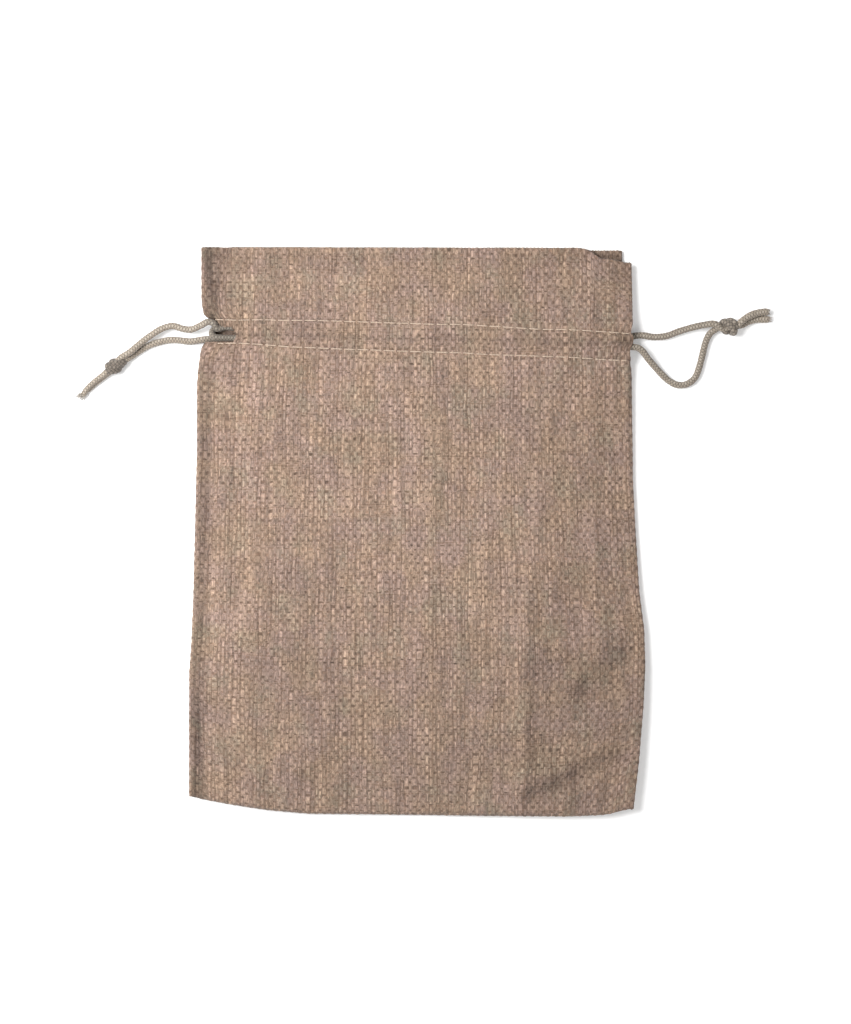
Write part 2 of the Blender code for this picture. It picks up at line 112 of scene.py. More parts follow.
# Height of each layer's middle: (distance above the cord line, z).
FRONT_LEVEL = [
    (-40, 3.3), (-20, 3.35), (-9, 3.6), (-3.6, 3.95), (-1.6, 4.44), (-0.3, 4.08), (1.3, 4.44),
    (3.7, 3.98), (8, 3.6), (14, 3.1), (20.6, 2.66), (24, 2.6)]
FRONT_HEM_LEVEL = [
    (-12, 2.55), (-5.5, 2.62), (-3.4, 2.66), (3.6, 2.66), (8, 2.35), (14, 2.05), (20.6, 1.86),
    (24, 1.85)]
BACK_HEM_LEVEL = [
    (-12, 1.5), (-5.5, 1.6), (-3.4, 1.86), (0, 2.0), (3.6, 1.9), (8, 1.55), (14, 1.25),
    (20.6, 1.07), (24, 1.05)]


def ease(t):
    """0 to 1 with a soft start and end."""
    t = np.clip(t, 0, 1)
    return t * t * (3 - 2 * t)


def bell(offset, width, power=2):
    return np.exp(-(offset / width) ** power)


def smooth_curve(points, sigma, key_shift=0.0, value_shift=0.0):
    """A smoothed curve through (key, value) points, as a function."""
    step, margin = 0.1, 8
    keys, values = np.array(points, float).T
    places = np.arange(keys.min() - margin, keys.max() + margin, step)
    samples = np.interp(places, keys, values)
    reach = int(4 * sigma / step)
    kernel = np.exp(-0.5 * (np.arange(-reach, reach + 1) * step / sigma) ** 2)
    padded = np.pad(samples, reach, mode="edge")
    samples = np.convolve(padded, kernel / kernel.sum(), mode="valid")
    return lambda key: np.interp(np.asarray(key) - key_shift, places, samples) + value_shift


def x_along_y(points, sigma):
    return smooth_curve(points, sigma, MID_Y, MID_X)


def y_along_x(points, sigma):
    return smooth_curve(points, sigma, MID_X, MID_Y)


left_edge, left_trend = x_along_y(LEFT_EDGE, 0.5), x_along_y(LEFT_EDGE, 12)
right_edge, right_trend = x_along_y(RIGHT_EDGE, 0.22), x_along_y(RIGHT_EDGE, 12)
bottom_edge = y_along_x(BOTTOM_EDGE, 1.2)
top_edge = {"front": y_along_x(FRONT_TOP, 0.45), "back": y_along_x(BACK_TOP, 0.5)}
upper_stitch, lower_stitch = y_along_x(UPPER_STITCH, 3.0), y_along_x(LOWER_STITCH, 3.0)
front_level = smooth_curve(FRONT_LEVEL, 0.45)
front_hem_level = smooth_curve(FRONT_HEM_LEVEL, 0.6)
back_hem_level = smooth_curve(BACK_HEM_LEVEL, 0.6)


def above_cord(x, y):
    return y - (CORD_Y - CORD_DROP * (x - MID_X))


def random_waves(seed, count, short, long):
    """Plane waves of random direction, with lengths between short and long."""
    rng = np.random.default_rng(seed)
    heading = rng.uniform(0, 2 * np.pi, count)
    rate = 2 * np.pi / rng.uniform(short, long, count)
    phase = rng.uniform(0, 2 * np.pi, count)
    size = rng.normal(0, 1, count) / math.sqrt(count)
    return list(zip(rate * np.cos(heading), rate * np.sin(heading), phase, size))


def wave_sum(x, y, table):
    z = np.zeros_like(x)
    for rate_x, rate_y, phase, size in table:
        z += size * np.sin(rate_x * x + rate_y * y + phase)
    return z


def distance_to(x, y, points):
    """Distance to a polyline drawn about the pouch's middle."""
    best = np.full(x.shape, 1e9)
    points = np.array(points) + [MID_X, MID_Y]
    for start, end in zip(points[:-1], points[1:]):
        run_x, run_y = end - start
        from_x, from_y = x - start[0], y - start[1]
        share = (from_x * run_x + from_y * run_y) / (run_x * run_x + run_y * run_y)
        share = np.clip(share, 0, 1)
        best = np.minimum(best, np.hypot(from_x - share * run_x, from_y - share * run_y))
    return best


# ---------------------------------------------------------------- lie of the cloth
SLOW = random_waves(11, 14, 22, 60)
FAST = random_waves(12, 22, 7, 18)
PLEATS = [(0.71, 0.02, 0.3, 0.5), (1.02, -0.03, 2.1, 0.35), (0.52, 0.01, 4.0, 0.35)]
# The long crease down the right of the front: y stations, x stations.
CREASE = ([-64, -61, -26.9, -7.6, 10.6, 33], [23.0, 23.2, 23.4, 24.3, 27.7, 29.2])
DENT = [(36.6, -36.2), (44.8, -27.6)]
FOLD = [(24.0, -60.4), (33.0, -56.2), (43.9, -50.2)]
# Hollows and ridges of the front: (x, y) polyline, width, depth; a ridge has a negative depth.
HOLLOWS = [
    (DENT, 2.3, 0.80),
    (FOLD, 2.0, 0.95),
    ([(26.2, -31.5), (26.4, -50.5)], 1.6, 0.24),
    ([(-48.4, -41.3), (-30.0, -41.0), (-12.0, -41.6)], 2.6, 0.20),
    ([(-42.0, 40.0), (-42.2, -12.0), (-42.6, -36.0)], 0.9, 0.16),
    ([(-48.7, 38.0), (-49.4, -6.0)], 0.5, 0.14),
    ([(-50.6, -42.0), (-50.9, -58.5)], 1.4, 0.40),
    ([(-44.6, 63.5), (-46.4, 50.0)], 1.7, 0.42),
    ([(-30.0, 26.0), (-24.0, -22.0)], 2.5, 0.10),
    ([(2.0, -56.0), (5.0, -60.5)], 3.0, 0.22),
    ([(8.0, 33.0), (12.0, 8.0)], 3.2, 0.12),
    ([(41.5, 47.0), (46.6, 45.2)], 0.8, 0.35),
    ([(-47.8, 49.4), (-46.0, 46.2)], 0.45, 0.42),
    ([(-46.0, 36.0), (-46.3, -20.0)], 1.5, -0.10),
    ([(-38.4, 62.0), (-38.6, -30.0)], 1.6, -0.10),
    ([(38.2, -20.5), (38.6, -26.5)], 4.0, -0.28),
    ([(30.0, -62.0), (44.0, -55.5)], 2.2, -0.25),
]
# Painted shade along the front's dents, folds and creases: (x, y) polyline, width, depth.
SHADES = [
    (DENT, 2.3, 0.26),
    (FOLD, 1.9, 0.30),
    ([(-43.9, 41.0), (-43.9, -16.0)], 0.5, 0.12),
    ([(-41.4, 40.0), (-41.6, -20.0)], 0.45, 0.08),
    ([(-48.0, -41.5), (-20.0, -41.0), (-8.0, -42.0)], 1.5, 0.07),
    ([(-30.0, -58.0), (0.0, -56.0), (22.0, -50.0)], 3.5, 0.06),
    ([(14.0, -28.0), (36.0, -30.0)], 2.2, 0.08),
]


def corner_lift(x, y):
    """The lower right corner stands clear of the ground."""
    return 2.5 * ease((x - MID_X + 2) / 55) * ease((12 - (y - MID_Y)) / 72)


def ripple(x, y):
    return 0.05 * (1 + wave_sum(x, y, SLOW)) * 0.5


def front_z(x, y):
    own_x, own_y = x - MID_X, y - MID_Y
    above = above_cord(x, y)
    z = front_level(above)
    body = ease((-above - 3.0) / 6)
    head = ease((above - 4) / 5)
    # the cloth falls away towards the sides and the bottom
    inside = np.minimum(x - left_trend(y), right_trend(y) - x)
    side_rise = 1 - np.exp(-np.maximum(inside, 0) / 3.8)
    bottom_rise = 1 - np.exp(-np.maximum(y - bottom_edge(x), 0) / 3.6)
    fall = 1 - side_rise * bottom_rise
    z = z - fall * (1.25 * body + 0.35 * head)
    # stitched lines pull the cloth in
    for line in (upper_stitch, lower_stitch):
        z = z - 0.22 * bell(y - line(x), 0.7)
    # the long soft crease down the right, and the slope from it to the side
    past = own_x - np.interp(own_y, *CREASE)
    grow = ease((38 - own_y) / 75)
    z = z - 1.05 * ease(past / 24) * grow * body
    z = z + 0.46 * bell(past + 0.6, 1.8) * grow * body
    for points, width, depth in HOLLOWS:
        z = z - depth * bell(distance_to(x, y, points), width)
    # inside the left side seam the cloth steps down from its folded edge, then comes back slowly
    z = z - head * 0.42 * ease((own_x + 49.8) / 3.2) * (1 - ease((own_x + 46.6) / 13))
    z = z - body * 0.28 * ease((inside - 0.9) / 1.9) * (1 - ease((inside - 2.8) / 6))
    # loose waves, quiet at the sides, and pleats hanging from the tunnel
    quiet = np.clip(inside / 6, 0, 1)
    loose = 0.20 * wave_sum(x, y, SLOW) + 0.07 * wave_sum(x, y, FAST)
    z = z + quiet * loose * (0.35 + 0.65 * body)
    hang = np.exp(-np.maximum(-above - 4, 0) / 12)
    z = z + 0.085 * wave_sum(x, y, PLEATS) * hang * quiet
    # the left mouth of the tunnel opens round the cords
    from_mouth = distance_to(x, y, [(-50.5, 44.75), (-44.3, 44.75)])
    z = z - 0.30 * bell(np.maximum(from_mouth - 1.7, 0), 0.7)
    # the front never sinks into the back
    least, softness = 1.72 + ripple(x, y), 0.12
    z = least + softness * np.logaddexp(0, (z - least) / softness)
    return z + corner_lift(x, y) + BASE_Z


def front_hem_z(x, y):
    return front_hem_level(above_cord(x, y)) + 0.05 * wave_sum(x, y, PLEATS) + BASE_Z


def back_hem_z(x, y):
    return back_hem_level(above_cord(x, y)) + BASE_Z


def back_z(x, y):
    return 0.37 + ripple(x, y) + corner_lift(x, y) + BASE_Z


SURFACES = {"front": (front_z, front_hem_z), "back": (back_z, back_hem_z)}    # skin, hem


def painted_shade_depth(x, y, back, hem):
    """Painted shade: slow changes in how dark the cloth is, beside the seams, over the tunnel and its
    mouths, along the front's folds and towards the bottom; 1 is the plain cloth, less is darker.
    """
    own_x, own_y = x - MID_X, y - MID_Y
    above = above_cord(x, y)
    inside = x - left_edge(y)
    head = ease((own_y - 44) / 3)
    body = ease((41 - own_y) / 4)

    def spot(centre_x, centre_y, wide, tall):
        return bell(own_x - centre_x, wide) * bell(own_y - centre_y, tall)

    # painted shade beside the left seam, above the tunnel and below it
    beside = 0.20 * bell(np.maximum(own_x + 48.0, 0), 5.5) * ease((own_x + 51.5) / 3)
    depth = 1 - head * (0.30 * bell(own_x + 48.3, 1.5) + beside)
    band = ease(inside / 1.0) * (1 - ease((inside - 2.0) / 2.4))
    depth = depth - body * (0.32 + 0.12 * ease((-30 - own_y) / 15)) * band
    # towards the bottom, along the top, to both sides of the head, and over the tunnel
    depth *= 1 - 0.10 * ease((-own_y - 14) / 22) * ease((own_x + 62) / 40)
    depth *= 1 - 0.10 * bell(own_y - 62.0, 1.4)
    depth *= 1 - head * (0.015 + 0.055 * np.minimum((own_x / 42) ** 2, 1))
    depth *= 1 - 0.045 * bell(above, 3.2, power=4)
    # the tunnel: painted shade between its two strands, and deeper at both mouths
    depth *= 1 - 0.17 * bell(above + 0.45, 0.65)
    depth *= 1 - 0.30 * spot(-45.5, 44.6, 4.6, 3.0)
    depth *= 1 - 0.42 * spot(46.6, 43.4, 2.6, 2.4)
    # painted shade right of the long crease, and along the front's dents and folds
    if not back:
        past = own_x - np.interp(own_y, *CREASE)
        fade = np.exp(-np.maximum(past, 0) / 7) * ease((40 - own_y) / 60)
        depth *= 1 - 0.15 * ease((past + 0.4) / 1.2) * fade
        for points, width, shade in SHADES:
            depth *= 1 - shade * bell(distance_to(x, y, points), width)
    # painted shade on the inside of the back
    if back and hem:    # the inside of the back, seen past the front at the mouth's right end
        rows = ease((own_y - 59) / 1.5) * ease((64.2 - own_y) / 1.2)
        depth *= 1 - 0.34 * ease((own_x - 32) / 5) * rows
    # painted shade on the hems inside the left mouth of the tunnel
    if hem:
        depth *= 1 - 0.35 * spot(-46.0, 44.7, 5.0, 3.2)
    return depth


# ---------------------------------------------------------------- yarns
def random_grid(seed, rows, cols):
    """Normal random values, smoothed along the rows, with unit spread."""
    grid = np.random.default_rng(seed).normal(0, 1, (rows, cols))
    grid = (np.roll(grid, 1, 1) + 2 * grid + np.roll(grid, -1, 1)) / 4
    return grid / grid.std()


def sample(grid, row, col):
    """Bilinear look-up of grid at fractional row and column."""
    row = np.clip(row, 0, grid.shape[0] - 1.001)
    col = np.clip(col, 0, grid.shape[1] - 1.001)
    low_row, low_col = row.astype(int), col.astype(int)
    part_row, part_col = row - low_row, col - low_col
    return (grid[low_row, low_col] * (1 - part_row) * (1 - part_col)
            + grid[low_row + 1, low_col] * part_row * (1 - part_col)
            + grid[low_row, low_col + 1] * (1 - part_row) * part_col
            + grid[low_row + 1, low_col + 1] * part_row * part_col)


def weave_relief(across, along, seed):
    """Height of a plain weave, across counting warps and along counting wefts."""
    warp, weft = np.round(across), np.round(along)
    off_warp, off_weft = across - warp, along - weft
    over = np.where((warp + weft) % 2 == 0, 1.0, -1.0)
    warp_thick = 1 + 0.28 * sample(random_grid(seed, 140, 60), warp + 70, along / 3.0)
    weft_thick = 1 + 0.28 * sample(random_grid(seed + 1, 180, 60), weft + 5, (across + 70) / 3.0)
    warp_z = YARN_WAVE * over * np.cos(np.pi * off_weft)
    warp_z = warp_z + WARP_CROWN * warp_thick * (1 - 3.2 * off_warp ** 2)
    weft_z = -YARN_WAVE * over * np.cos(np.pi * off_warp)
    weft_z = weft_z + WEFT_CROWN * weft_thick * (1 - 3.2 * off_weft ** 2)
    weft_z = weft_z - WEFT_SUNK * (1 - 0.45 * ease((across - 18) / 24))
    return np.maximum(warp_z, weft_z)


def panel(which):
    """Middle surface of a panel with its turned hem, on a grid of yarn samples, with normals."""
    seed = SEEDS[which]
    top_row = ROLL_N + BODY_ROWS
    hem_row = top_row + FOLD_ROWS
    across = np.arange(-(LEFT_N + ROLL_N) * SUB, (RIGHT_N + ROLL_N) * SUB + 1) / SUB
    along = np.arange(0, int((hem_row + HEM_ROWS) * SUB) + 1) / SUB
    across, along = np.meshgrid(across, along)
    past_top, in_hem = along > top_row, along > hem_row
    side = np.where(across < 0, -1.0, 1.0)
    side_n = np.where(across < 0, LEFT_N, RIGHT_N)
    share = np.clip(np.abs(across) / side_n, 0, 1)
    side_turn = np.clip((np.abs(across) - side_n) / ROLL_N, 0, 1) * np.pi / 2
    bottom_turn = np.clip((ROLL_N - along) / ROLL_N, 0, 1) * np.pi / 2
    fold_turn = np.clip((along - top_row) / FOLD_ROWS, 0, 1) * np.pi

    # y: up the panel, over the fold, down the hem
    rough_x = MID_X + side * share * np.where(across < 0, LEFT_WIDTH, RIGHT_WIDTH)
    low_y, high_y = MID_Y - HALF_HEIGHT + ROLL_RADIUS, MID_Y + HALF_HEIGHT - FOLD_RADIUS
    straight = low_y + np.clip((along - ROLL_N) / BODY_ROWS, 0, 1) * (high_y - low_y)
    bottom = bottom_edge(rough_x) - (MID_Y - HALF_HEIGHT)
    top = top_edge[which](rough_x) - (MID_Y + HALF_HEIGHT)
    y = straight + bottom * (1 - ease((straight - low_y) / 50))
    y = y + top * (1 - ease((high_y - straight) / 14))
    y = y - ROLL_RADIUS * np.sin(bottom_turn)
    fold_y = high_y + top
    y = np.where(past_top, fold_y + FOLD_RADIUS * np.sin(fold_turn), y)
    hem_y = high_y + top * (1 - ease((along - hem_row) / 14)) - (along - hem_row) * WEFT_PITCH
    y = np.where(in_hem, hem_y, y)

    # x: spread evenly between the side edges, then turned under
    edge = np.where(across < 0, left_edge(y), right_edge(y))
    trend = np.where(across < 0, left_trend(y), right_trend(y))
    if which == "back":     # the back draws in a little at the mouth's right end
        edge = edge - 2.0 * ease((y - MID_Y - 49.0) / 13.0) * (across > 0)
    above = above_cord(rough_x, y)
    edge = edge - side * np.where(in_hem, 2.6 * (1 - ease((above - 3.6) / 2.5)), 0.0)
    flat_x = MID_X + share * (trend - side * ROLL_RADIUS - MID_X)
    flat_x = flat_x + (edge - trend) * (1 - ease((1 - share) * 50 / 12))
    x = np.where(side_turn > 0, edge - side * ROLL_RADIUS * (1 - np.sin(side_turn)), flat_x)

    # yarns wander a little, and less where the cloth is folded
    calm = np.clip((1 - share) * 30, 0, 1) * np.clip((along - 2) / 3, 0, 1)
    calm = 0.125 * calm * np.clip(np.abs(along - top_row) / 3, 0.25, 1)
    x = x + calm * sample(random_grid(seed + 2, 140, 80), across + 70, along / 2.6)
    y = y + calm * sample(random_grid(seed + 3, 180, 80), along + 5, (across + 70) / 2.6)

    # z: the skin, the fold, the hem, and the edges drawn down to the seams
    skin, lining = SURFACES[which]
    head = ease((above - 3.3) / 2.2)
    body = ease((-above - 3.1) / 2.6)
    skin_top = skin(x, fold_y)
    fold_mid = (skin_top + lining(x, fold_y)) / 2
    z = np.where(past_top, fold_mid + (skin_top - fold_mid) * np.cos(fold_turn), skin(x, y))
    z = np.where(in_hem, lining(x, y), z)
    seam = SEAM_Z + BASE_Z + corner_lift(x, y)
    half = (skin(x, y) + lining(x, y)) / 2
    turned_end = np.where(in_hem, head * half + (1 - head) * z, fold_mid)
    panel_end = head * half + body * seam + (1 - head - body) * z
    end = np.where(past_top, turned_end, panel_end)
    z = end + (z - end) * np.cos(side_turn)
    z = seam + (z - seam) * np.cos(bottom_turn)

    points = np.stack([x, y, z], -1)
    normals = np.cross(np.gradient(points, axis=1), np.gradient(points, axis=0))
    lengths = np.linalg.norm(normals, axis=-1, keepdims=True)
    return {"which": which, "points": points, "normals": normals / np.maximum(lengths, 1e-9),
            "across": across, "along": along}


# ---------------------------------------------------------------- meshes
def make_mesh(name, verts, polys, attributes):
    """polys: an index array per polygon size. attributes: (name, type, values)."""
    used = np.unique(np.concatenate([p.ravel() for p in polys]))
    remap = np.full(len(verts), -1, np.int64)
    remap[used] = np.arange(len(used))
    mesh = bpy.data.meshes.new(name)
    mesh.vertices.add(len(used))
    mesh.vertices.foreach_set("co", (verts[used] * MM).astype(np.float32).ravel())
    loops = np.concatenate([remap[p].ravel() for p in polys])
    sizes = np.concatenate([np.full(len(p), p.shape[1]) for p in polys])
    starts = np.concatenate([[0], np.cumsum(sizes)[:-1]])
    mesh.loops.add(len(loops))
    mesh.loops.foreach_set("vertex_index", loops.astype(np.int32))
    mesh.polygons.add(len(sizes))
    mesh.polygons.foreach_set("loop_start", starts.astype(np.int32))
    for label, kind, values in attributes:
        attribute = mesh.attributes.new(label, kind, "POINT")
        field = "vector" if kind == "FLOAT_VECTOR" else "value"
        attribute.data.foreach_set(field, values[used].astype(np.float32).ravel())
    mesh.update(calc_edges=True)
    mesh.validate()
    mesh.shade_smooth()
    ob = bpy.data.objects.new(name, mesh)
    bpy.context.scene.collection.objects.link(ob)
    return ob


# Rim faces of a sheet: (row, column) step to the missing neighbour, then the samples along
# that side of the cell.
RIM_SIDES = [
    ((-1, 0), [(0, 2), (0, 1), (0, 0)]),
    ((1, 0), [(2, 0), (2, 1), (2, 2)]),
    ((0, -1), [(0, 0), (1, 0), (2, 0)]),
    ((0, 1), [(2, 2), (1, 2), (0, 2)]),
]


def two_faces(outer, inner):
    """Values of the outer face, then of the inner face at half the resolution."""
    shape = (-1, *outer.shape[2:])
    return np.concatenate([outer.reshape(shape), inner[::2, ::2].reshape(shape)])


def shell(name, sheet, rows, cols, keep=None):
    """A closed sheet: woven outer face, plain inner face at half the resolution, and a rim."""
    cut = (slice(rows[0], rows[1] + 1), slice(cols[0], cols[1] + 1))
    points, normals, across, along = (
        sheet[key][cut] for key in ("points", "normals", "across", "along"))
    which = sheet["which"]
    seed, sign = SEEDS[which], FACING[which]
    relief = weave_relief(across, along, seed)
    outer = points + normals * (sign * (OUTER_SKIN + relief))[..., None]
    inner = points - normals * sign * INNER_SKIN

    row_n, col_n = rows[1] - rows[0], cols[1] - cols[0]
    half_rows, half_cols = row_n // 2, col_n // 2
    if keep is None:
        mask = np.ones((half_rows, half_cols), bool)
    else:
        middle = points[1::2, 1::2]
        mask = keep(middle[..., 0], middle[..., 1])
    fine = np.arange((row_n + 1) * (col_n + 1)).reshape(row_n + 1, col_n + 1)
    coarse = np.arange((half_rows + 1) * (half_cols + 1)).reshape(half_rows + 1, half_cols + 1)
    coarse = fine.size + coarse
    fine_mask = np.kron(mask, np.ones((2, 2), bool))
    outer_quads = np.stack([fine[:-1, :-1], fine[:-1, 1:], fine[1:, 1:], fine[1:, :-1]], -1)
    inner_quads = np.stack(
        [coarse[:-1, :-1], coarse[1:, :-1], coarse[1:, 1:], coarse[:-1, 1:]], -1)
    padded = np.pad(mask, 1)
    rim = []
    for (step_row, step_col), line in RIM_SIDES:
        neighbour = padded[1 + step_row:1 + step_row + half_rows,
                           1 + step_col:1 + step_col + half_cols]
        row, col = np.nonzero(mask & ~neighbour)
        corners = [fine[2 * row + i, 2 * col + j] for i, j in line]
        corners += [coarse[row + i // 2, col + j // 2] for i, j in (line[2], line[0])]
        rim.append(np.stack(corners, -1))
    faces = [outer_quads[fine_mask], inner_quads[mask], np.concatenate(rim)]
    if sign < 0:
        faces = [f[:, ::-1] for f in faces]
    weave = np.stack([across, along, np.full(across.shape, seed * 1.0)], -1)
    # painted shade of the cloth, kept as a point attribute
    painted_shade = painted_shade_depth(points[..., 0], points[..., 1], which == "back", rows[0] >= CREST)
    return make_mesh(name, two_faces(outer, inner), faces,
                     [("weave", "FLOAT_VECTOR", two_faces(weave, weave)),
                      ("painted_shade", "FLOAT", two_faces(painted_shade, painted_shade))])


def spline(points):
    """A smooth path through points, by centripetal Catmull-Rom."""
    per_span = 14
    points = np.array(points, float)
    points = np.vstack([2 * points[0] - points[1], points, 2 * points[-1] - points[-2]])
    path = []
    for i in range(1, len(points) - 2):
        near = points[i - 1:i + 3]
        times = [0.0]
        for start, end in zip(near[:-1], near[1:]):
            times.append(times[-1] + max(np.linalg.norm(end - start), 1e-6) ** 0.5)
        for now in np.linspace(times[1], times[2], per_span, endpoint=False):
            def between(pair, start, end):
                return ((end - now) / (end - start) * pair[0]
                        + (now - start) / (end - start) * pair[1])

            three = [between(near[k:k + 2], times[k], times[k + 1]) for k in range(3)]
            two = [between(three[k:k + 2], times[k], times[k + 2]) for k in range(2)]
            path.append(between(two, times[1], times[2]))
    path.append(points[-2])
    return np.array(path)


def path_lengths(path):
    return np.concatenate([[0], np.cumsum(np.linalg.norm(np.diff(path, axis=0), axis=1))])


def resample(path, step):
    """Points and lengths at even steps along a path; step may be a function of the points."""
    lengths = path_lengths(path)
    if callable(step):
        density = 1 / step(path)
        spans = np.linalg.norm(np.diff(path, axis=0), axis=1)
        counts = np.cumsum(spans * (density[1:] + density[:-1]) / 2)
        counts = np.concatenate([[0], counts])
        total = max(8, int(counts[-1]))
        places = np.interp(np.linspace(0, counts[-1], total + 1), counts, lengths)
    else:
        places = np.linspace(0, lengths[-1], max(8, int(lengths[-1] / step)) + 1)
    return np.stack([np.interp(places, lengths, path[:, k]) for k in range(3)], -1), places


def path_frames(path):
    """Tangents, and two directions across the path that do not twist."""
    tangents = np.gradient(path, axis=0)
    tangents /= np.linalg.norm(tangents, axis=1, keepdims=True)
    normals = np.zeros_like(tangents)
    reference = np.array([0, 0, 1.0]) if abs(tangents[0][2]) < 0.9 else np.array([1.0, 0, 0])
    normal = np.cross(tangents[0], reference)
    normal /= np.linalg.norm(normal)
    for i in range(len(tangents)):
        normal = normal - tangents[i] * np.dot(normal, tangents[i])
        normal /= np.linalg.norm(normal)
        normals[i] = normal
    return tangents, normals, np.cross(tangents, normals)


def ring_angles(ring):
    return np.arange(ring) / ring * 2 * np.pi


def tube(path, lengths, radius, ring, tip, flat=1.0):
    """Verts, quads, end triangles and (cos, sin, length) coordinates of a closed tube.

    radius has a row per path point; tip is how far each end's point stands out."""
    tangents, normals, sides = path_frames(path)
    count = len(path)
    cosine, sine = np.cos(ring_angles(ring)), np.sin(ring_angles(ring))
    offsets = radius[..., None] * (cosine[None, :, None] * normals[:, None, :]
                                   + sine[None, :, None] * sides[:, None, :])
    offsets[..., 2] *= flat
    verts = (path[:, None, :] + offsets).reshape(-1, 3)
    tips = [path[0] - tangents[0] * tip, path[-1] + tangents[-1] * tip]
    rings = np.arange(count * ring).reshape(count, ring)
    following = np.roll(rings, -1, axis=1)
    quads = np.stack([rings[:-1], following[:-1], following[1:], rings[1:]], -1).reshape(-1, 4)
    first_tip = np.full(ring, count * ring)
    caps = np.concatenate([np.stack([first_tip, following[0], rings[0]], -1),
                           np.stack([first_tip + 1, rings[-1], following[-1]], -1)])
    coords = np.stack([np.tile(cosine, count), np.tile(sine, count), np.repeat(lengths, ring)], -1)
    coords = np.concatenate([coords, [[0, 0, lengths[0]], [0, 0, lengths[-1]]]])
    return np.concatenate([verts, tips]), quads, caps, coords


BRAID_N, BRAID_P = 4, 0.70      # strands each way round the cord, and their pitch along it


def braid_tube(path, lengths, radius, flat=1.0, relief=0.80):
    """A round cord with the relief of its braid."""
    ring = 40
    turn = BRAID_N * ring_angles(ring)[None, :] / (2 * np.pi)
    rise = lengths[:, None] / BRAID_P
    first, second = turn + rise, turn - rise
    first_id, second_id = np.round(first), np.round(second)
    over = np.where((first_id + second_id) % 2 == 0, 1.0, -1.0)
    first, second = first - first_id, second - second_id

    def strand(off, off_other, over):
        crown = np.sqrt(np.clip(1 - (off / 0.54) ** 2, 0, 1))
        return 0.045 * over * np.cos(np.pi * off_other) + 0.10 * crown

    height = np.maximum(strand(first, second, over), strand(second, first, -over)) - 0.085
    height = height * relief * (radius / 0.75)[:, None]
    return tube(path, lengths, radius[:, None] + height, ring, tip=0.05, flat=flat)


def thin_tube(path, radius, ring, taper=0.0):
    lengths = path_lengths(path)
    radii = radius * (1 - taper * (lengths / lengths[-1]) ** 2)
    return tube(path, lengths, radii[:, None], ring, tip=radius * 0.4)


def join_tubes(name, tubes):
    verts, quads, caps, coords = zip(*tubes)
    starts = np.cumsum([0] + [len(v) for v in verts])
    faces = [np.concatenate([face + start for face, start in zip(group, starts)])
             for group in (quads, caps)]
    return make_mesh(name, np.concatenate(verts), faces,
                     [("braid", "FLOAT_VECTOR", np.concatenate(coords))])


# ---------------------------------------------------------------- material building
class Value:
    """A node's output. Arithmetic on it adds Math nodes; % is a floored modulo."""

    def __init__(self, net, socket):
        self.net, self.socket = net, socket

    def __add__(self, other):
        return self.net.math("ADD", self, other)

    def __radd__(self, other):
        return self.net.math("ADD", other, self)

    def __sub__(self, other):
        return self.net.math("SUBTRACT", self, other)

    def __rsub__(self, other):
        return self.net.math("SUBTRACT", other, self)

    def __mul__(self, other):
        return self.net.math("MULTIPLY", self, other)

    def __truediv__(self, other):
        return self.net.math("DIVIDE", self, other)

    def __mod__(self, other):
        return self.net.math("FLOORED_MODULO", self, other)

    def __abs__(self):
        return self.net.math("ABSOLUTE", self)

    def nearest(self):
        return self.net.math("FLOOR", self + 0.5)

    def ramp(self, span, to=(0.0, 1.0)):
        """A smooth step from to[0] to to[1] as the value crosses span."""
        names = ("Value", "From Min", "From Max", "To Min", "To Max")
        node = self.net.node("MapRange", dict(zip(names, (self, *span, *to))),
                             interpolation_type="SMOOTHSTEP")
        return Value(self.net, node.outputs[0])


